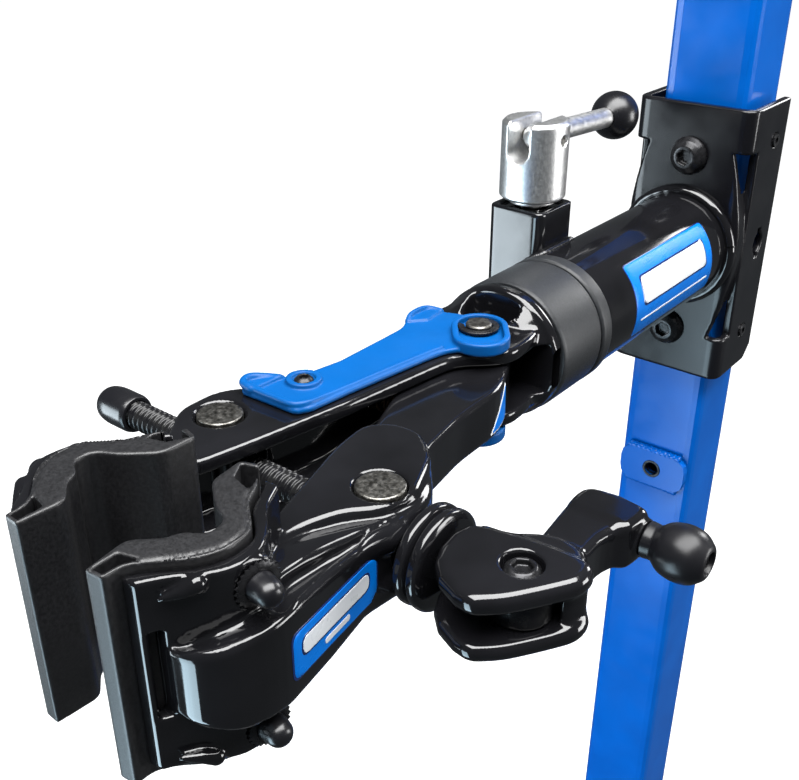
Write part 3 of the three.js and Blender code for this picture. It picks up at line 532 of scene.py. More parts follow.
def swept(name, path, radius, material, body, ripple=0.0, waves=0, closed=False, segments=14):
    """A round bead along a path of points, with ripples along it."""
    path = np.array(path, float)
    count = len(path)
    ahead = np.roll(path, -1, axis=0) - np.roll(path, 1, axis=0)
    if not closed:
        ahead[0], ahead[-1] = path[1] - path[0], path[-1] - path[-2]
    ahead /= np.linalg.norm(ahead, axis=1)[:, None]
    side = np.cross(ahead, (0, 0, 1.0))
    weak = np.linalg.norm(side, axis=1) < 0.2
    side[weak] = np.cross(ahead[weak], (0, 1.0, 0))
    side /= np.linalg.norm(side, axis=1)[:, None]
    up = np.cross(side, ahead)
    turn = np.linspace(0, 2 * math.pi, segments, endpoint=False)
    size = radius * (1 + ripple * np.abs(np.sin(np.linspace(0, math.pi * waves, count))))
    if not closed:
        size[[0, -1]] *= 0.3
    rows = (path[:, None] + side[:, None] * (size[:, None] * np.cos(turn))[..., None] + up[:, None]
        * (size[:, None] * np.sin(turn))[..., None])
    faces = grid_faces(count, segments)
    if closed:
        last = (count - 1) * segments
        faces += [(last + j, last + (j + 1) % segments, (j + 1) % segments, j)
            for j in range(segments)]
    else:
        faces += [tuple(range(segments)),
            tuple((count - 1) * segments + j for j in reversed(range(segments)))]
    piece = mesh_piece(name, rows.reshape(-1, 3), faces, material, body)
    mend(piece, 0)
    return piece


def patch(name, shape, outline, lift, material, body, rings=6):
    """A thin label on a shape's surface: outline is its points just off the surface."""
    outline = np.array(outline, float)
    middle = outline.mean(axis=0)
    shares = [1.0, 1.0, 0.985] + list(np.linspace(0.9, 0.12, rings))
    lifts = [-0.2, lift * 0.6, lift] + [lift] * rings
    rows = []
    for share, rise in zip(shares, lifts):
        points = middle + (outline - middle) * share
        lifted = Shape(lambda p, rise=rise: shape(p) - rise, shape.low, shape.high)
        for _ in range(4):
            points = pulled(lifted, points, 8.0)
        rows.append(points)
    points = np.vstack(rows)
    count = len(outline)
    faces = grid_faces(len(rows), count) + [tuple((len(rows) - 1) * count + j
        for j in range(count))]
    piece = mesh_piece(name, points, faces, material, body)
    mend(piece, 0)
    return piece


def rounded_loop(width, height, radius, steps=5):
    """A rounded rectangle's points about the origin."""
    half = [(-width / 2, -height / 2, radius), (width / 2, -height / 2, radius),
        (width / 2, height / 2, radius), (-width / 2, height / 2, radius)]
    loop = rounded(half, steps)
    dense = []
    for a, b in zip(loop, np.roll(loop, -1, axis=0)):
        parts = max(1, int(np.hypot(*(b - a)) / 4))
        dense += [a + (b - a) * t for t in np.linspace(0, 1, parts, endpoint=False)]
    return np.array(dense)


def dress(material, *nodes, bevel=0.5):
    """Gives CAD nodes a material and soft edges, without touching their meshes."""
    for name in nodes:
        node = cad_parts[name]
        node.data.materials.clear()
        node.data.materials.append(material)
        soft = node.modifiers.new("bevel", "BEVEL")
        soft.width = bevel * MM
        soft.segments = 3
        soft.limit_method = "ANGLE"
        soft.angle_limit = math.radians(32)
        soft.harden_normals = False


# ---- places in the arm frame ----
PIN_X, FAR_PIN_Y, NEAR_PIN_Y = -195.0, 31.0, -49.5
PIVOT = (-73.0, -5.0, 0.0)
EYE = (PIN_X, -107.5, 0)  # the cam handle's bolt
COVER_SCREW = (-159, 20.5, 0)
PAD_HALF = 39.5
TUBE_RADIUS = 31.75
MAST_HALF = 25.4
TAB_HEIGHTS = (-162, -54, 54, 162, 270)
BRACKET_BOLTS = (-54, 54)
FAR_JAW = (-234.6, -3.2, 177.7, 1)  # a jaw's rear end (x, y), its direction, its outer side
NEAR_JAW = (-236.0, -25.6, 187.4, -1)


# ---- jaws: the pads and the plates behind them ----
def placed(jaw, corners):
    """Corners (along, outward, rounding) of a jaw's outline as plan corners."""
    x, y, turn, side = jaw
    c, s = math.cos(math.radians(turn)), math.sin(math.radians(turn))
    ox, oy = s * side, -c * side
    return [(x + k[0] * c + k[1] * ox, y + k[0] * s + k[1] * oy, k[2] if len(k) > 2 else 0.0)
        for k in corners]


PAD_INNER = [(0, 0, 2), (14, 0, 3), (18.5, 4.5, 3), (24, 10, 4), (28, 17.5, 4), (35.5, 17.5, 3),
    (39, 10.5, 3), (43.5, 8.5, 3), (50, -0.5, 3), (66, 0, 0.6)]
PAD_OUTER = [(66, 6.5, 0.8), (59, 7.5, 3), (54, 12, 3), (47, 21.5, 5), (38.5, 26.8, 5),
    (27.5, 27, 5), (21.5, 21.5, 4), (16.5, 16.5, 3), (8, 13.5, 4), (-1.5, 6.5, 0.8)]
JAW_INNER = [(1, 10.5), (7.8, 14.2, 4), (16, 17.1, 3), (21, 22.1, 4), (27.3, 27.6, 5),
    (38.8, 27.4, 5), (47.4, 22, 5), (54.4, 12.5, 3), (59.2, 8.1, 3), (61, 7.9)]
JAW_OUTER = [(61, 13), (53, 19.5, 6), (46, 28.5, 6), (39.5, 32.3, 6), (29, 32.3, 6), (20.5, 27, 5),
    (12, 20, 4), (1, 16)]
TIP_SLOT = [(64.9, 5.6), (59.0, 6.5, 0.8), (54.6, 9.6, 0.8), (56.0, 2.0, 0.8), (64.9, 1.2)]
REAR_SLOT = [(0.2, 8.2), (7.6, 12.0, 0.8), (11.6, 12.4, 0.8), (8.6, 4.6, 0.8), (1.2, 1.4)]


def pad_shape(jaw):
    body = slab(placed(jaw, PAD_INNER + PAD_OUTER), -PAD_HALF, PAD_HALF, 0.7)
    slots = [slab(placed(jaw, slot), -60, 60, 0.2) for slot in (TIP_SLOT, REAR_SLOT)]
    seam = slab(placed(jaw, [(56, 9.2), (45.5, 20.2, 4), (38, 25.2, 4), (28, 25.3, 4),
        (22.6, 20.4, 4), (17.4, 15.2, 3), (9, 12.2), (9, 12.9), (17.0, 16.0, 3), (22.0, 21.1, 4),
        (27.6, 26.1, 4), (38.2, 26.0, 4), (46.2, 20.9, 4), (56, 10.2)]), PAD_HALF - 0.5, 41, 0.1)
    return cut(body, slots + [seam], 0.3)


def jaw_plate(jaw):
    """The plate behind a pad, with a seat for each nut."""
    plate = slab(placed(jaw, JAW_INNER + JAW_OUTER), -34.4, 36.5, 1.3)
    bosses = [nut_rod(jaw, height, 8.2, -3.4, 0.0) for height in NUT_HEIGHTS]
    flats = [nut_rod(jaw, height, 8.2, 0.0, 14.0, 0.5) for height in NUT_HEIGHTS]
    return cut(joined([plate] + bosses, 1.0), flats, 0.6)


NUT_SEAT = (34.2, 33.0)
NUT_LEAN = (0.3, 0.954)
NUT_HEIGHTS = (26.8, -26.8)


def nut_axis(jaw, height):
    """The seat's centre and the nut's direction in the arm frame."""
    here, there = placed(jaw, [NUT_SEAT, (NUT_SEAT[0] + NUT_LEAN[0], NUT_SEAT[1] + NUT_LEAN[1])])
    seat = np.array([here[0], here[1], height])
    ahead = np.array([there[0], there[1], height]) - seat
    return seat, ahead / np.linalg.norm(ahead)


def nut_rod(jaw, height, radius, low, high, edge=0.4):
    """A round bar along a nut's axis, from low to high above its seat."""
    seat, ahead = nut_axis(jaw, height)
    middle, half = (low + high) / 2, (high - low) / 2

    def distance(p):
        q = p - seat
        height = q @ ahead
        off = np.linalg.norm(q - height[:, None] * ahead, axis=1)
        return rim(off - radius, np.abs(height - middle) - half, edge)
    reach = max(abs(low), abs(high)) + radius
    return Shape(distance, seat - reach, seat + reach)


def hooks(jaw):
    """The two small curled stops that keep the pad from sliding off the plate's end."""
    path = placed(jaw, [(49.6, 24.6), (52.4, 22.4), (57.4, 18.2)])
    return [cord_of([(x, y, height * (1 - 0.04 * i)) for i, (x, y, _) in enumerate(path)],
        [3.0, 2.4, 0.9]) for height in (33.6, -31.6)]


# ---- clamp head: fixed casting ----
INNER_FACE, OUTER_FACE = 12.2, 19  # of the two plates, up and down from the middle
FAR_EDGE = [(-213, 38, 14), (-203, 46.5, 12), (-181, 47, 14), (-168, 35, 8), (-158, 25, 12),
    (-93, 23, 10), (-82, 27, 6), (-66, 28, 8)]
BODY_PLAN = [(-44, -20, 6), (-58, -25.5, 8), (-76, -26.5, 10), (-86, -21, 6), (-95, -10.5, 6),
    (-106, -8, 4), (-156, -2), (-203, 6.3, 10), (-226, 11, 5), (-226, 30, 12), *FAR_EDGE,
    (-44, 26, 6)]
WEB_PLAN = [(-50, 17), (-90, 16, 4), (-160, 13, 6), (-226, 24), (-226, 32, 6), *FAR_EDGE, (-50, 26)]
SCOOP_PLAN = [(-50.2, -13, 4), (-50.2, 14, 5), (-61, 13, 5), (-60, -6, 4), (-55, -14, 4)]
REAR_PLAN = [(-224, 12, 4), (-224, 33, 6), (-214, 41, 6), (-226, 43, 8), (-262, 44.5, 8),
    (-283, 40, 8), (-290, 25, 4), (-284, 24), (-268, 32.4), (-254, 28.5), (-247, 19.5),
    (-238, 11.5)]


def trunnion_room(y, ring_from, ring_radius):
    """The room a trunnion needs: its pins' bore, its block's hollow, and a ring round each pin."""
    place = (PIN_X, y, 0)
    rings = [turned("z", place, [(9.2, side * ring_from), (ring_radius, side * ring_from),
        (ring_radius, side * 21), (9.2, side * 21)]) for side in (1, -1)]
    return [rod("z", place, 9.5, -40, 40, 0.1), rod("z", place, 13.3, -11, 11, 0.5), *rings]


def both(corners, low, high, radius):
    """The same outline above and below the middle."""
    return [slab(corners, low, high, radius), slab(corners, -high, -low, radius)]


def clamp_body_shape():
    plates = both(BODY_PLAN, INNER_FACE, OUTER_FACE, 2.1)
    web = slab(WEB_PLAN, -14, 14, 1.5)
    flange = rod("x", (0, 0, 0), 32.5, -49.5, -43, 1.5)
    hub = turned("x", (0, 0, 0), [(0, -60), (17, -60), (26, -56), (30.5, -49), (30.5, -47),
        (0, -47)], 0.7)
    shell = turned("x", (0, 0, 0), [(0, -46), (31.4, -46), (30.6, -52), (28, -58.5), (23, -63.5),
        (17, -66), (0, -66)], 0.6)
    halves = [block((-75, 13, low), (-44, 45, low + 22), 2.5) for low in (8, -30)]
    crest = common(shell, joined(halves, 0.1), 3.0)
    tongue_way = slab([(-49.4, -45), (-49.4, 12), (-73, 15), (-120, 13), (-120, -60)], -INNER_FACE,
        INNER_FACE, 1.0)
    boss = rod("z", (PIN_X, FAR_PIN_Y, 0), 18, -13, 13, 0.5)
    rear = slab(REAR_PLAN, -16, 16, 2.5)
    whole = joined([cut(hub, [tongue_way], 1.0), flange], 1.2)
    whole = joined([whole, *plates, crest], 2.2)
    whole = joined([whole, web, boss], 1.6)
    whole = joined([whole, rear], 3.0)
    whole = joined([whole, jaw_plate(FAR_JAW), *hooks(FAR_JAW)], 1.2)
    tools = [tongue_way, *both(SCOOP_PLAN, 14.6, 60, 2.0), rod("z", PIVOT, 6.3, -40, 40, 0.1),
        rod("z", PIVOT, 21.5, -INNER_FACE, INNER_FACE, 0.8),
        block((PIN_X - 8.5, -10, -7.5), (PIN_X + 8.5, 70, 7.5), 2.0)]
    return cut(whole, tools + trunnion_room(FAR_PIN_Y, 17.6, 10.6), 0.7)


# ---- swinging arm ----
NEAR_TOP = [(-156, -38, 6), (-157, -24, 8), (-166, -16, 8), (-184, -18.5, 6), (-236, -34.7),
    (-243, -41.8), (-247, -45, 4), (-229, -45, 6), (-214, -50.5, 6), (-206, -59, 6), (-190, -62, 6),
    (-168, -52, 8)]
NEAR_BAND = [(-158, -38, 6), (-159, -24, 8), (-167, -17, 8), (-184, -19.5, 6), (-236, -35.5),
    (-243, -43.5), (-249.5, -47.5), (-254, -56.5), (-266, -60.5, 8), (-279.5, -55.6, 6),
    (-283.5, -49), (-290, -49.5, 1.5), (-289.5, -58, 6), (-283, -67.5, 8), (-268, -71.8, 9),
    (-240, -67.5), (-213, -63.5, 10), (-196, -66, 6), (-181, -62, 8), (-168, -51, 8)]
TONGUE = [(-60, -15, 14), (-57, 3, 14), (-70, 14.5, 12), (-88, 10, 10), (-130, -2, 10), (-170, -18),
    (-170, -46), (-156, -40, 6), (-127, -35, 6), (-96, -34, 10), (-78, -25, 12)]
BAND_HEIGHTS = ([-292, -286, -278, -262, -240, -222, -206, -180],
    [13.0, 15.0, 17.0, 18.0, 17.2, 15.2, 14.6, 15.5])


def tapered_slab(corners, places, heights, radius):
    """A plan outline whose half height follows x."""
    points = rounded(corners)

    def distance(p):
        flat = polygon_distance(points, p[:, 0], p[:, 1])
        return rim(flat, np.abs(p[:, 2]) - np.interp(p[:, 0], places, heights), radius)
    tall = max(heights)
    return Shape(distance, (*points.min(axis=0), -tall), (*points.max(axis=0), tall))


def near_arm_shape():
    top = slab(NEAR_TOP, -OUTER_FACE, OUTER_FACE, 3.4)
    band = tapered_slab(NEAR_BAND, *BAND_HEIGHTS, 3.2)
    ridge_path = smooth_path([(-254, -50.0, 10.6), (-243, -52.0, 11.6), (-233, -52.6, 11.8),
        (-224, -55.2, 11.4), (-214, -59.6, 10.6), (-204, -63.0, 9)], 24)
    ridges = [cord_of(ridge_path * (1, 1, side), 5.0) for side in (1, -1)]
    tongue = slab(TONGUE, -11.5, 11.5, 2.6)
    recess = [(-206, -61.6, 1), (-213, -60.4, 4), (-240, -64.2, 2), (-262, -68.0, 4),
        (-262, -60, 5), (-250, -56.4, 4), (-236, -57.0, 5), (-222, -58.8, 4)]
    dish_path = smooth_path([(-258, -66.3, 21.3), (-268, -66.6, 21.8), (-277, -63.8, 21.0),
        (-283, -58.6, 19.2), (-287, -50.0, 16.0)], 16)
    dishes = [cord_of(dish_path * (1, 1, side), [3.0] + [5.2] * (len(dish_path) - 2) + [4.2])
        for side in (1, -1)]
    pocket = slab([(-208, -10), (-208, -52, 3), (-250, -61, 4), (-262, -64.3, 2), (-262, -66.0, 2),
        (-238, -62, 4), (-208, -58), (-178, -58), (-178, -10)], -10, 10, 1.5)
    body = joined([band, top], 1.4)
    body = joined([body, *ridges], 3.4)
    body = cut(body, both(recess, INNER_FACE, 40, 2.0), 2.4)
    body = cut(body, dishes, 1.4)
    body = joined([body, tongue], 2.4)
    well = slab(placed(NEAR_JAW, [(55.8, 5), (55.8, 30), (59.4, 30), (59.4, 5)]), -14, 18.5, 0.6)
    plate = cut(jaw_plate(NEAR_JAW), [well], 0.5)
    body = joined([body, plate, *hooks(NEAR_JAW)], 1.1)
    pad_room = slab(placed(NEAR_JAW, PAD_INNER + PAD_OUTER), -50, 50, 0.2)
    tools = [pocket, pad_room, block((PIN_X - 11.8, -80, -10), (PIN_X + 11.8, NEAR_PIN_Y, 10), 2.0),
        block((PIN_X - 10, NEAR_PIN_Y, -8), (PIN_X + 10, 0, 8), 2.0),
        rod("z", PIVOT, 6.3, -40, 40, 0.1)]
    return cut(body, tools + trunnion_room(NEAR_PIN_Y, 17.8, 9.9), 0.7)


# ---- cam handle ----
CAM_PLAN = [(-187, -81, 3), (-195, -79.5), (-203, -80.8), (-210, -84.2), (-215.6, -90), (-219, -98),
    (-220, -105, 5), (-213, -113, 8), (-201, -121, 8), (-190, -127.5, 7), (-180, -126, 6),
    (-181, -104, 8), (-184, -86, 6)]
CAM_ARM_PLAN = [(-192, -122, 4), (-192, -106), (-180, -101, 8), (-150, -97, 10), (-137, -97, 7),
    (-135, -110), (-137, -123, 5), (-146, -123, 5), (-158, -117, 8), (-176, -118, 6), (-184, -124)]


def cam_handle_shape():
    cheeks = joined([slab(CAM_PLAN, 5.5, 13.5, 3.4), slab(CAM_PLAN, -12.6, -5.5, 3.2)], 0.2)
    spine = slab([(-183, -82, 3), (-192, -100), (-192, -122, 3), (-180, -125, 6), (-181, -104, 8)],
        -12, 12, 2.0)
    heel = slab([(-188, -124, 5), (-188, -88, 6), (-176, -98, 8), (-172, -110, 8), (-176, -122, 6)],
        -12.2, 12.2, 3.4)
    arm = slab(CAM_ARM_PLAN, -8.8, 8.8, 3.0)
    shoulder = slab([(-152, -122.5, 4), (-152, -98, 6), (-137, -97.2, 6), (-135.2, -110, 2),
        (-137, -122.8, 4)], -9, 9.6, 2.6)
    neck = rod("y", (-141, 0, 0), 7, -124, -118, 0.6)
    slot = slab([(-230, -70), (-183, -70), (-183, -119, 8), (-208, -123, 8), (-230, -123)], -5.5,
        5.5, 0.8)
    whole = joined([cheeks, spine, heel], 2.0)
    whole = joined([whole, arm], 4.0)
    whole = joined([whole, shoulder], 2.5)
    whole = joined([whole, neck], 1.0)
    sinks = [rod("z", EYE, 7.1, 8.5, 30, 0.4), rod("z", EYE, 7.1, -30, -8.5, 0.4)]
    return cut(whole, [slot, rod("z", EYE, 5.3, -40, 40, 0.1)] + sinks, 0.9)


# ---- blue cover ----
COVER_PLAN = [(-66, -17.5, 4), (-84, -21.5, 5), (-97, -7, 6), (-108, -4.5, 4), (-152, 1.4),
    (-173, 3.5, 2), (-178.5, 6.6, 2), (-179.5, 36, 3), (-172, 38.5, 4), (-166.5, 33.5, 4),
    (-154, 25.6, 6), (-135, 22.3), (-93, 22.8, 4), (-84, 27, 4), (-70, 27.5, 4), (-63, 10, 4)]


def cover_shape(side):
    """The cover on the upper plate, or turned over for the lower one."""
    sheet = slab(COVER_PLAN, 19.3, 21.8, 0.9)
    lip_path = smooth_path([(-177.6, 33.0, 23.0), (-177.4, 20, 22.8), (-176.8, 9.4, 22.8),
        (-172.4, 6.2, 22.7), (-164, 5.0, 22.3), (-150, 3.4, 22.0), (-112, -1.6, 22.0),
        (-99, -4.0, 22.0)], 40)
    lip = cord_of(lip_path, [1.7 - 0.6 * min(1, i / 24) for i in range(len(lip_path))])
    ear = [cord_of(smooth_path([(-178.2, 31, 22.8), (-177.2, 36.2, 23.6), (-172.6, 37.6, 23.8),
        (-167.6, 34.6, 22.9), (-163.0, 30.6, 21.8)], 20), 1.7),
        cord_of(smooth_path([(-86, 25.0, 22.0), (-82, 26.3, 23.4), (-75, 26.6, 23.6),
        (-70, 25.2, 23.0), (-67.6, 20, 22.2)], 20), 1.25)]
    screw_boss = turned("z", COVER_SCREW, [(4.6, 20), (7.2, 20), (6.9, 23.4), (4.6, 23.4)], 0.4)
    middle, ahead = np.array([-78.0, -9.5]), np.array([0.78, 0.63])
    across = np.array([-ahead[1], ahead[0]])

    def oval(grow, low, high, edge):
        def distance(p):
            q = p[:, :2] - middle
            u, v = np.abs(q @ ahead), q @ across
            flat = np.hypot(np.maximum(u - 5.2, 0), v) - 12.6 - grow
            return rim(flat, np.abs(p[:, 2] - (low + high) / 2) - (high - low) / 2, edge)
        return Shape(distance, (*(middle - 18 - grow), low), (*(middle + 18 + grow), high))
    tray = cut(oval(0, 19.4, 25.2, 1.0), [oval(-2.7, 21.2, 40, 0.6)], 0.4)
    tabs = [slab([(-178, 30), (-177.4, 36.2, 3), (-172.6, 37.8, 3), (-166.8, 34.6, 3), (-161, 29)],
        20.4, 23.3, 0.9),
        slab([(-87, 24), (-82, 26.0, 3), (-75, 26.4, 3), (-69.4, 24.8, 3), (-67.6, 19), (-80, 18)],
        20.4, 22.9, 0.9)]
    whole = joined([sheet, lip, *ear, *tabs, screw_boss], 0.9)
    whole = joined([cut(whole, [oval(-1.5, 21.9, 40, 0.2)], 0.2), tray], 0.8)
    whole = cut(whole, [rod("z", PIVOT, 6.3, 0, 60, 0.1), rod("z", COVER_SCREW, 2.8, 0, 60, 0.1),
        rod("z", COVER_SCREW, 4.9, 22.6, 60, 0.1)], 0.3)
    return whole if side > 0 else mirrored(whole)


# ---- mount bracket ----
def bracket_shape():
    outer = slab([(144.5, -36, 8), (196, -36), (196, 36), (144.5, 36, 8)], -82, 83.5, 0.8)
    inner = slab([(149.5, -31, 3), (210, -31), (210, 31), (149.5, 31, 3)], -120, 120, 0.2)
    curve = [(25.5, 59), (29.5, 46, 8), (34.2, 22, 12), (35.7, 3, 20), (34.2, -18, 12),
        (29.5, -42, 8), (25.5, -55), (60, -55), (60, 59)]
    windows = [slab([(side * y, *rest) for y, *rest in curve], 130, 156.5, 0.5, "x")
        for side in (1, -1)]
    corner_cut = Shape(lambda p: ((196 - p[:, 0]) + (p[:, 2] + 82) - 8.0) / math.sqrt(2),
        (187, -60, -90), (210, 60, -73))
    holes = [rod("x", (0, 0, z), 6.3, 100, 160, 0.1) for z in BRACKET_BOLTS]
    sets = [rod("y", (x, 0, z), 4.3, -60, 60, 0.1) for x, z in ((180, 61.5), (177, -58))]
    key = [rod("y", (179, 0, -1), 6.5, -60, 60, 0.1), block((176.6, -60, -10.5), (181.4, 60, 8.5),
        0.8)]
    return cut(outer, [inner, *windows, corner_cut, *holes, *sets, *key], 0.6)


# ---- putting the pieces in ----
def make_castings():
    moulded("clamp_body_casting", clamp_body_shape(), (-297, -31, -39), (-41, 50, 39), 1.0,
        GLOSS_BLACK, "clamp_head", ["clamp_body"])
    moulded("near_arm_casting", near_arm_shape(), (-300, -76, -39), (-54, 18, 39), 1.0, GLOSS_BLACK,
        "near_arm", ["near_arm"])
    moulded("cam_handle_casting", cam_handle_shape(), (-223, -130, -16), (-132, -76, 16), 0.8,
        GLOSS_BLACK, "cam_handle", ["cam_handle"])
    moulded("bracket_sheet", bracket_shape(), (142, -39, -85), (198, 39, 86), 1.25, SATIN_BLACK,
        "stand", ["mount_bracket"])
    for side, name in ((1, "cover_top"), (-1, "cover_bottom")):
        low, high = (18.5, 26) if side > 0 else (-26, -18.5)
        moulded(name + "_shell", cover_shape(side), (-182, -26, low), (-58, 41, high), 0.7,
            BLUE_PLASTIC, "clamp_head", [name])
    pads = [(FAR_JAW, "far_pad", "clamp_head", (-304, -12, -41), (-228, 32, 41)),
        (NEAR_JAW, "near_pad", "near_arm", (-306, -60, -41), (-228, -18, 41))]
    for jaw, name, body, low, high in pads:
        moulded(name + "_moulding", pad_shape(jaw), low, high, 0.8, PAD_PLASTIC, body, [name])


def nut_piece(name, jaw, height, body, node):
    """A domed nut and the toothed washer under it."""
    seat, ahead = nut_axis(jaw, height)
    points, faces = spun([(0, 0.3), (5.0, 0.3), (5.0, 1.6), (4.9, 1.7), (4.7, 4.8, 0.6),
        (4.3, 7.4, 1.2), (2.8, 9.3, 1.6), (0, 9.9)], "z", (0, 0, 0), 40)
    nut = framed(name, points, faces, seat, ahead, BALL_BLACK, body)
    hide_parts(node)
    teeth = 24
    turn = np.linspace(0, 2 * math.pi, teeth * 2, endpoint=False)
    rows = []
    for radius, high in ((5.1, 0.35), (5.9, 0.35), (8.0, 0.35), (8.0, 0.9), (6.2, 1.5), (5.1, 1.5),
            (5.1, 0.35)):
        size = radius - (0.9 * (np.arange(teeth * 2) % 2) if radius > 7 else 0)
        rows.append(np.stack([size * np.cos(turn), size * np.sin(turn), np.full(teeth * 2, high)],
            axis=1))
    star = framed(name + "_star_washer", np.vstack(rows), grid_faces(len(rows), teeth * 2), seat,
        ahead, BLACK_STEEL, body)


def make_nuts():
    for jaw, side, body in ((FAR_JAW, "far", "clamp_head"), (NEAR_JAW, "near", "near_arm")):
        for word, height in zip(("upper", "lower"), NUT_HEIGHTS):
            nut_piece(f"{side}_nut_{word}", jaw, height, body, f"{side}_pad_nut_{word}")


def framed(name, points, faces, place, ahead, material, body):
    """A piece made along Z, set down at a place with its Z along a direction."""
    side = np.cross((0, 0, 1.0), ahead)
    side = side / np.linalg.norm(side) if np.linalg.norm(side) > 1e-6 else np.array([1.0, 0, 0])
    up = np.cross(ahead, side)
    turned_points = place + points @ np.stack([side, up, ahead])
    piece = mesh_piece(name, turned_points, faces, material, body)
    mend(piece, 0.0005)
    return piece


def make_arm_tube():
    lathe("arm_tube_skin", [(28.6, 3.3), (TUBE_RADIUS, 3.3, 0.5), (TUBE_RADIUS, 138.5, 2),
        (33.2, 142), (34.6, 144.2), (28.6, 144.2)], "x", (0, 0, 0), GLOSS_BLACK, "stand",
        ["arm_tube"], 112)
    turn = np.linspace(0, 2 * math.pi, 240, endpoint=False)
    ring = np.stack([np.full(240, 142.4), 33.1 * np.cos(turn), 33.1 * np.sin(turn)], axis=1)
    swept("arm_tube_weld", ring, 3.3, GLOSS_BLACK, "stand", 0.025, 30, True)
    sleeve = [(22.6, -42.4), (32.6, -42.4, 0.5), (33.2, -40.6, 1), (33.2, -9.2, 0.6), (32.2, -7.3),
        (22.6, -7.3)]
    bushing = [(22.6, -6.6), (32.4, -6.6, 0.4), (33.4, -5.4, 0.8), (33.4, 1.6, 0.8), (32.4, 2.9),
        (28.2, 2.9), (28.2, 6.5), (22.6, 6.5)]
    for name, profile, node, body in (("head_collar_sleeve", sleeve, "head_collar", "clamp_head"),
            ("front_bushing_ring", bushing, "front_bushing", "stand")):
        lathe(name, profile, "x", (0, 0, 0), COLLAR_PLASTIC, body, [node], 112)


def make_lock():
    x, y = 23.0, 30.0

    def square(half, radius, low, high, edge):
        return slab([(x + i * half, y + j * half, radius) for i,
            j in ((-1, -1), (1, -1), (1, 1), (-1, 1))], low, high, edge)
    housing = square(15.87, 4.5, -46, 50, 0.8)
    hollow = square(12.9, 3, -80, 46, 0.4)
    well = square(12.4, 3, 48.4, 60, 0.4)
    split = block((x + 15.3, y - 0.5, 20), (x + 20, y + 0.5, 60), 0.1)
    shape = cut(housing, [hollow, well, split, rod("z", (x, y, 0), 8.5, 40, 70, 0.2),
        rod("x", (0, 0, 0), 23.2, -40, 80, 0.2)], 0.5)
    moulded("lock_housing_tube", shape, (5, 12, -48), (41, 48, 52), 1.0, GLOSS_BLACK, "stand",
        ["lock_housing"])
    loop = []
    for px, py in rounded_loop(33.4, 33.4, 4.5, 6) + (x, y):
        reach = TUBE_RADIUS ** 2 - py ** 2
        if reach > 0:
            loop.append((px, py, math.sqrt(reach)))
    loop = np.array(loop)
    start = int(np.argmax(np.linalg.norm(np.roll(loop, -1, axis=0) - loop, axis=1))) + 1
    loop = np.roll(loop, -start, axis=0)
    for side, name in ((1, "lock_weld_upper"), (-1, "lock_weld_lower")):
        swept(name, smooth_path(loop * (1, 1, side), 160), 1.9, GLOSS_BLACK, "stand", 0.16, 34)
    lathe("lock_sleeve_washer", [(5.4, 50.7), (11.8, 50.7, 0.4), (12, 52.9, 0.4), (5.4, 52.9)], "z",
        (x, y, 0), BAR_STEEL, "lock_cap", ["lock_sleeve"])
    cap = turned("z", (x, y, 0), [(0, 53.3), (15.6, 53.3), (17, 54.7), (17, 91.2), (15.3, 93),
        (0, 93)])
    groove = joined([block((x - 40, y - 6.2, 79.5), (x + 40, y + 6.2, 120), 0.3),
        rod("x", (0, y, 79.4), 6.2, -40, 80, 0.1)], 0.1)
    flats = [block((x - 40, y - 40, 89.5), (x - 14.6, y + 40, 120), 0.2),
        block((x + 14.6, y - 40, 89.5), (x + 40, y + 40, 120), 0.2)]
    pin_hole = [rod("y", (x, 0, 84), 2.7, -40, 80, 0.1)]
    moulded("lock_cap_body", cut(cap, [groove, *pin_hole, rod("z", (x, y, 0), 5.3, 40, 66, 0.1)],
        0.7), (4, 11, 51), (42, 49, 95), 0.75, TURNED_STEEL, "lock_cap", ["lock_cap"])
    lathe("lock_roll_pin", [(0, 14.2), (2.0, 14.2), (2.5, 14.8), (2.5, 45.2), (2.0, 45.8),
        (0, 45.8)], "y", (x, 0, 84), PIN_STEEL, "lock_cap", ["lock_lever_pin"], 32)
    droop = math.radians(3)
    ahead = np.array([math.cos(droop), 0, -math.sin(droop)])
    pin = np.array([x, y, 84.0])
    points, faces = spun([(0, -6.4), (3.2, -5.9), (5.2, -3.6, 1.2), (5.9, -0.4, 1), (5.6, 4, 1),
        (5.4, 8), (5.4, 79), (0, 79)], "z", (0, 0, 0), 56)
    lever = framed("lock_lever_bar", points, faces, pin, ahead, BAR_STEEL, "lock_lever")
    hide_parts("lock_lever")
    ball = [(13.2 * math.cos(a), 83 + 13.2 * math.sin(a)) for a in np.linspace(math.radians(-64),
        math.radians(90), 36)]
    points, faces = spun([(5.5, 74), (5.6, 70.8), *ball], "z", (0, 0, 0), 64)
    knob = framed("lock_lever_knob", points, faces, pin, ahead, BALL_BLACK, "lock_lever")
    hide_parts("lock_lever_ball")


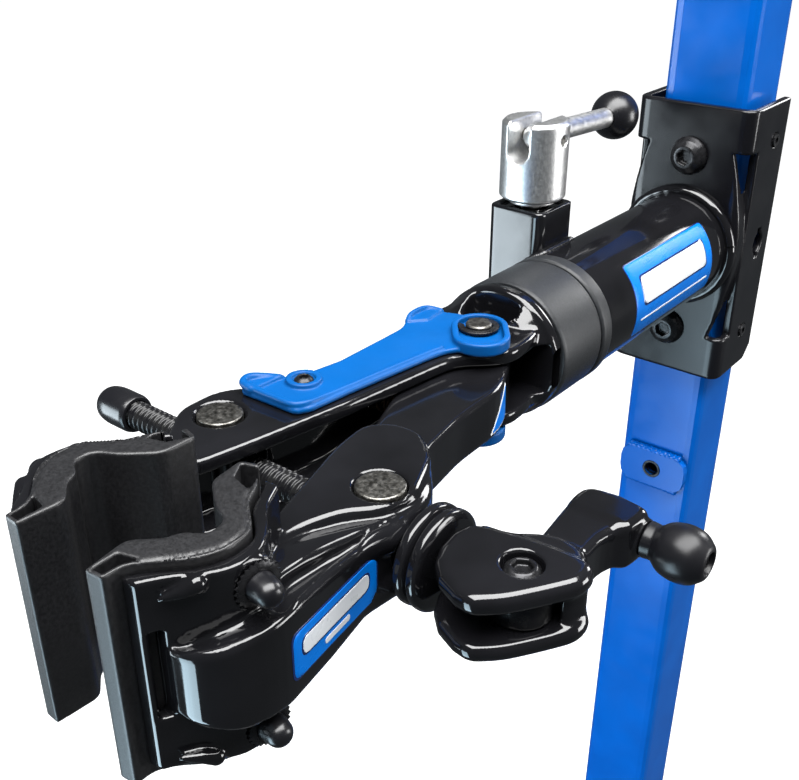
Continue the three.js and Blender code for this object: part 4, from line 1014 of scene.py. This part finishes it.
def make_thread():
    """The adjusting rod: a rolled coarse thread, its flattened eye and its end cap."""
    pitch, steps, around = 3.0, 12, 72
    root, depth = 4.95, 1.15
    low, high = -79.0, 96.0
    heights = np.linspace(low, high, int((high - low) / pitch * steps) + 1)
    turn = np.linspace(0, 2 * math.pi, around, endpoint=False)
    phase = heights[:, None] / pitch - turn[None, :] / (2 * math.pi)
    wave = 0.5 + 0.5 * np.cos(2 * math.pi * phase)
    radius = root + depth * wave
    rows = np.stack([PIN_X + radius * np.cos(turn), np.broadcast_to(heights[:, None], radius.shape),
        radius * np.sin(turn)], axis=2).reshape(-1, 3)
    faces = grid_faces(len(heights), around)
    faces += [tuple(reversed(range(around))),
        tuple((len(heights) - 1) * around + j for j in range(around))]
    piece = mesh_piece("adjust_rod_thread", rows, faces, THREAD_STEEL, "adjusting_screw",
        ["adjust_rod"])
    mend(piece, 0)
    eye = joined([rod("z", EYE, 11, -5, 5, 1.0),
        block((PIN_X - 6, EYE[1], -5), (PIN_X + 6, -78.5, 5), 1.2)], 1.5)
    eye = cut(eye, [rod("z", EYE, 5.3, -30, 30, 0.1)], 0.3)
    moulded("adjust_rod_eye", eye, (PIN_X - 13, -120, -6.5), (PIN_X + 13, -76, 6.5), 0.8,
        THREAD_STEEL, "adjusting_screw")
    lathe("rod_end_bullet", [(6.4, 84), (7.8, 84, 0.5), (8.4, 86, 0.8), (8.4, 97.5, 3),
        (7.5, 102, 2), (5.2, 104.8, 2), (2.5, 105.8), (0, 106)], "y", (PIN_X, 0, 0), BALL_BLACK,
        "adjusting_screw", ["rod_end_cap"])


def make_round_parts():
    for name, y in (("far_trunnion", FAR_PIN_Y), ("near_trunnion", NEAR_PIN_Y)):
        for side, end in ((1, "upper"), (-1, "lower")):
            lathe(f"{name}_{end}_pin", [(0, 8 * side), (9.1, 8 * side), (9.1, 18.9 * side, 0.4),
                (8.6, 19.3 * side, 0.3), (0, 19.4 * side)], "z", (PIN_X, y, 0), PIN_STEEL, name,
                [name] if side > 0 else (), 64)
        hub = rod("z", (PIN_X, y, 0), 13, -10, 10, 0.8)
        if name == "near_trunnion":
            hub = joined([hub, rod("y", (PIN_X, 0, 0), 9, -68, y, 0.8)], 1.0)
        hub = cut(hub, [rod("y", (PIN_X, 0, 0), 6.5, -120, 120, 0.1)], 0.3)
        moulded(name + "_block", hub, (PIN_X - 15, y - 20, -12), (PIN_X + 15, y + 15, 12), 1.1,
            PIN_STEEL, name)
    for number, name in enumerate(("thrust_disc_inner", "thrust_disc_outer")):
        high = -68.3 - number * 5.5
        lathe(name + "_turned", [(6.6, high - 5.1), (16.0, high - 5.1, 0.4),
            (18.5, high - 4.2, 1.6), (18.5, high - 0.9, 1.6), (16.0, high, 0.4), (6.6, high)], "y",
            (PIN_X, 0, 0), GLOSS_BLACK, "thrust_discs", [name], 96)
    lathe("handle_knob_grip", [(2.9, -124.5), (6.8, -124.5, 0.5), (6.6, -126.5, 1.5),
        (6.4, -128.4, 2), (9.2, -131.6, 3.5), (10.6, -137.5, 4), (9.6, -143.4, 3.5),
        (6.2, -147.2, 1.6), (4.4, -147.6, 0.5), (4.0, -145.6, 0.4), (2.9, -145.4)], "y",
        (-141, 0, 0), KNOB_BLACK, "handle_knob", ["handle_knob"])
    socket_screw("cam_bolt_head", EYE, 8.8, 12.6, 6.4, 3.2, "cam_handle", ["cam_bolt"])
    socket_screw("cam_bolt_nut", EYE, -8.8, -12.0, 6.4, 3.2, "cam_handle", [])
    lathe("cam_bolt_shank", [(0, -9), (4.9, -9), (4.9, 9), (0, 9)], "z", EYE, BLACK_STEEL,
        "cam_handle", (), 40)
    for side, word in ((1, "top"), (-1, "bottom")):
        socket_screw(f"cover_screw_{word}_head", COVER_SCREW, 22.2 * side, 24.4 * side, 4.3, 1.9,
            "clamp_head", [f"cover_screw_{word}"])
        lathe(f"pivot_pin_{word}_end", [(0, 10 * side), (5.9, 10 * side), (5.9, 24.6 * side, 0.4),
            (5.0, 25.2 * side, 0.3), (0, 25.2 * side)], "z", PIVOT, PIN_STEEL, "clamp_head",
            ["pivot_pin"] if side > 0 else (), 56)
        clip = cut(turned("z", PIVOT, [(6.3, 22.7), (9.2, 22.7), (9.2, 23.9), (6.3, 23.9)], 0.0),
            [block((PIVOT[0] - 3, PIVOT[1], 20), (PIVOT[0] + 3, PIVOT[1] + 20, 26), 0.2)], 0.2)
        shape = clip if side > 0 else mirrored(clip)
        low, high = (22.0, 24.6) if side > 0 else (-24.6, -22.0)
        moulded(f"pivot_clip_{word}_ring", shape, (-84, -16, low), (-62, 6, high), 0.45,
            BLACK_STEEL, "clamp_head", [f"pivot_clip_{word}"])


def socket_screw(name, centre, low, high, radius, socket, body, nodes):
    """A low round head with a hexagon socket, its axis upright."""
    side = 1 if high > low else -1
    middle = np.array(centre, float)
    head = turned("z", middle, [(0, low), (radius - 0.6, low), (radius - 0.6, high - side * 1.6),
        (radius - 2.0, high - side * 0.3), (0, high - side * 0.3)], 0.3)
    corners = [(middle[0] + socket * 1.15 * math.cos(a), middle[1] + socket * 1.15 * math.sin(a))
        for a in np.arange(6) * math.pi / 3]
    hole = slab(corners, *sorted((high - side * 2.2, high + side * 4)), 0.1)
    reach = radius + 1.5
    moulded(name, cut(head, [hole], 0.2), middle + (-reach, -reach, min(low, high) - 1.2),
        middle + (reach, reach, max(low, high) + 1.2), 0.5, BLACK_STEEL, body, nodes)


def make_bracket_screws():
    for i, z in enumerate(BRACKET_BOLTS):
        head = turned("x", (0, 0, z), [(0, 144.2), (10.9, 144.2), (10.9, 143.2), (9.2, 139.8),
            (6.2, 137.8), (0, 137.6)], 0.2)
        turn = np.arange(6) * math.pi / 3 + 0.3
        hole = slab([(4.5 * math.cos(a), z + 4.5 * math.sin(a)) for a in turn], 130, 141, 0.1, "x")
        moulded(f"bracket_screw_{i + 1}_head", cut(head, [hole], 0.3), (136, -12.5, z - 12.5),
            (145.5, 12.5, z + 12.5), 0.6, BLACK_STEEL, "stand", [f"bracket_screw_{i + 1}"])
        lathe(f"bracket_screw_{i + 1}_shank", [(0, 144.4), (5.9, 144.4), (5.9, 170, 0.8), (0, 170)],
            "x", (0, 0, z), BLACK_STEEL, "stand", (), 40)


def near_wall(x):
    """The near arm's outer wall: its y at an x."""
    return np.interp(x, [-268, -240, -213], [-71.8, -67.5, -63.5])


def evenly(loop, step):
    """The closed loop's points, with more between those further apart than step."""
    points = []
    for here, there in zip(loop, np.roll(loop, -1, axis=0)):
        count = max(1, math.ceil(np.linalg.norm(there - here) / step))
        points += [here + (there - here) * i / count for i in range(count)]
    return np.array(points)


def make_return_spring():
    """The coil between the swinging arm's tongue and the web: one fixed mesh that rides on no body.
    """
    x, z, radius, turns = -121.5, 1.0, 4.3, 3.5
    turn = np.linspace(0, 2 * math.pi * turns, 96)
    along_axis = np.interp(turn, [0, 5, turn[-1] - 5, turn[-1]], [14.2, 13.4, 5.4, 4.6])
    path = np.stack([x + radius * np.cos(turn), along_axis, z + radius * np.sin(turn)], axis=1)
    spring = swept("return_spring", path, 0.52, SPRING_BRONZE, None)
    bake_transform(spring)


def make_labels():
    """Plain labels in thin layers, with bars in place of lettering."""
    arm = tapered_slab(NEAR_BAND, *BAND_HEIGHTS, 3.2)
    layers = (("border", 47.0, 18.4, 0, 0.18, LABEL_NAVY),
        ("field", 45.6, 17.0, 0, 0.32, LABEL_BLUE), ("bar_edge", 38.4, 8.0, 1.6, 0.40, LABEL_NAVY),
        ("bar", 37.0, 6.6, 1.6, 0.5, LABEL_WHITE), ("line", 14.0, 2.2, -5.0, 0.45, LABEL_WHITE))
    for word, width, height, rise, lift, material in layers:
        loop = rounded_loop(width, height, min(3.4, height * 0.45))
        x = -238.0 + loop[:, 0]
        points = np.stack([x, near_wall(x) - lift, -0.6 + rise + loop[:, 1]], axis=1)
        patch(f"near_label_{word}", arm, points, lift, material, "near_arm")
    tongue = slab(TONGUE, -11.5, 11.5, 2.6)
    layers = (("border", 0.7, 0.18, LABEL_WHITE), ("field", 0.0, 0.32, LABEL_BLUE))
    for word, grow, lift, material in layers:
        loop = evenly(rounded([(-103 - 2 * grow, -8.0 - grow, 1.2), (-85 + grow, -8.0 - grow, 1.2),
            (-88, 8.2 + 2 * grow, 1.0)]), 1.5)
        wall = np.interp(loop[:, 0], [-127, -100, -94, -86, -78], [-35, -34.1, -32.6, -29, -25])
        points = np.stack([loop[:, 0], wall - lift, loop[:, 1]], axis=1)
        patch(f"tongue_label_{word}", tongue, points, lift, material, "near_arm")
    tube = rod("x", (0, 0, 0), TUBE_RADIUS, -100, 200)
    layers = (("border", 92.0, 74.0, 0, 0.15, LABEL_NAVY),
        ("field", 90.6, 72.0, 0, 0.35, LABEL_BLUE), ("bar_edge", 76.0, 29.6, -7.0, 0.5, LABEL_NAVY),
        ("bar", 74.0, 26.0, -7.0, 0.65, LABEL_WHITE), ("line", 80.0, 1.4, 20.0, 0.6, LABEL_WHITE))
    for word, width, arc, shift, lift, material in layers:
        loop = evenly(rounded_loop(width, TUBE_RADIUS * math.radians(arc), 3.0 if arc > 2 else 0.3),
            2.0)
        angle = math.radians(193 - shift) - loop[:, 1] / TUBE_RADIUS
        points = np.stack([76 + loop[:, 0], 32.2 * np.cos(angle), -32.2 * np.sin(angle)], axis=1)
        patch(f"arm_label_{word}", tube, points, lift, material, "stand", 14)


def make_mast():
    dress(GLOSS_BLUE, "mast_tube", "foot_flange", bevel=0.7)
    mast_x = (node_box("mast_cap")[0][0] + node_box("mast_cap")[1][0]) / 2 - ARM[0]
    front = mast_x - MAST_HALF
    for number, z in enumerate(TAB_HEIGHTS):
        for side, word in ((1, "top"), (-1, "low")):
            path = [(front - 2.2, y, z + side * (12.7 - 0.012 * max(0, abs(y) - 15) ** 2))
                for y in np.linspace(-19, 19, 60)]
            swept(f"tab_weld_{word}_{number + 1}", path, 2.2, GLOSS_BLUE, "stand", 0.22, 11)
        lathe(f"tab_insert_{number + 1}", [(4.4, front - 1.2), (6.35, front - 1.2),
            (6.35, front - 5.0), (5.9, front - 5.4, 0.3), (5.0, front - 5.4, 0.3),
            (4.4, front - 4.9)], "x", (0, 0, z), BLACK_STEEL, "stand", (), 48)


def make_cad_looks():
    dress(BASE_COAT, "base_plate", bevel=1.5)
    dress(BALL_BLACK, "mast_cap", bevel=0.8)
    dress(BLACK_STEEL, "base_bolt_1", "base_bolt_2", "base_bolt_3", "base_bolt_4",
        "near_set_screw_1", "near_set_screw_2", "far_set_screw_1", "far_set_screw_2", "lock_nut",
        "shaft_collar", "knob_screw", bevel=0.3)
    dress(COLLAR_PLASTIC, "rear_bushing", bevel=0.3)
    dress(TURNED_STEEL, "lock_wedge_upper", "lock_wedge_lower", "lock_bolt", "clamp_shaft",
        bevel=0.3)


def make_stage():
    """The floor and the walls round it: bright to the camera, unseen by reflections."""
    data = bpy.data.meshes.new("floor")
    far, tall = 30.0, 40.0
    corners = [(-far, -far), (far, -far), (far, far), (-far, far)]
    walls = [(i, (i + 1) % 4, (i + 1) % 4 + 4, i + 4) for i in range(4)]
    data.from_pydata([(x, y, z) for z in (0, tall) for x, y in corners], [], [(0, 1, 2, 3)] + walls)
    floor = bpy.data.objects.new("floor", data)
    bpy.context.scene.collection.objects.link(floor)
    pale = finish("studio_floor", (0.3, 0.3, 0.3), (0.34, 0.34, 0.34), (0.8, 0.9), patch=0.4,
        grain=40.0, height=0.02, specular=0.0)
    shader = pale.node_tree.nodes["Principled BSDF"]
    shader.inputs["Emission Color"].default_value = (1.0, 1.0, 1.0, 1.0)
    shader.inputs["Emission Strength"].default_value = 1.0
    data.materials.append(pale)
    floor.visible_glossy = False
    floor.visible_diffuse = False


def soft_light(name, place, target, size, power, colour=(1, 1, 1)):
    """A flat lamp; its glow in reflections is power over area."""
    data = bpy.data.lights.new(name, "AREA")
    data.shape = "RECTANGLE"
    data.size, data.size_y = size
    data.energy = power
    data.color = colour
    lamp = bpy.data.objects.new(name, data)
    bpy.context.scene.collection.objects.link(lamp)
    lamp.location = place
    lamp.visible_camera = False
    lamp.rotation_euler = (Vector(target) - Vector(place)).to_track_quat("-Z", "Y").to_euler()


def make_lights():
    bpy.context.scene.view_settings.view_transform = "Standard"
    world = bpy.data.worlds.new("studio")
    bpy.context.scene.world = world
    world.use_nodes = True
    world.node_tree.nodes["Background"].inputs["Color"].default_value = (0.86, 0.94, 1.0, 1)
    world.node_tree.nodes["Background"].inputs["Strength"].default_value = 0.11
    middle = (-0.35, 0.0, 1.15)
    soft_light("top_box", (-0.5, -0.35, 2.8), middle, (2.5, 1.4), 200)
    soft_light("left_box", (-1.54, 1.3, 0.85), (0, 0, 1.2), (0.8, 1.1), 38, (0.8, 0.92, 1.0))
    soft_light("low_left_box", (-1.25, 0.2, 0.5), (-0.46, -0.05, 1.13), (0.5, 0.8), 13,
        (0.64, 0.86, 1.0))
    soft_light("near_box", (1.3, -2.3, 1.2), middle, (1.0, 1.2), 52)
    soft_light("right_box", (2.3, -0.55, 2.1), middle, (0.8, 0.9), 34)


make_camera()
make_castings()
make_nuts()
make_arm_tube()
make_lock()
make_thread()
make_round_parts()
make_bracket_screws()
make_return_spring()
make_labels()
make_mast()
make_cad_looks()
make_stage()
make_lights()
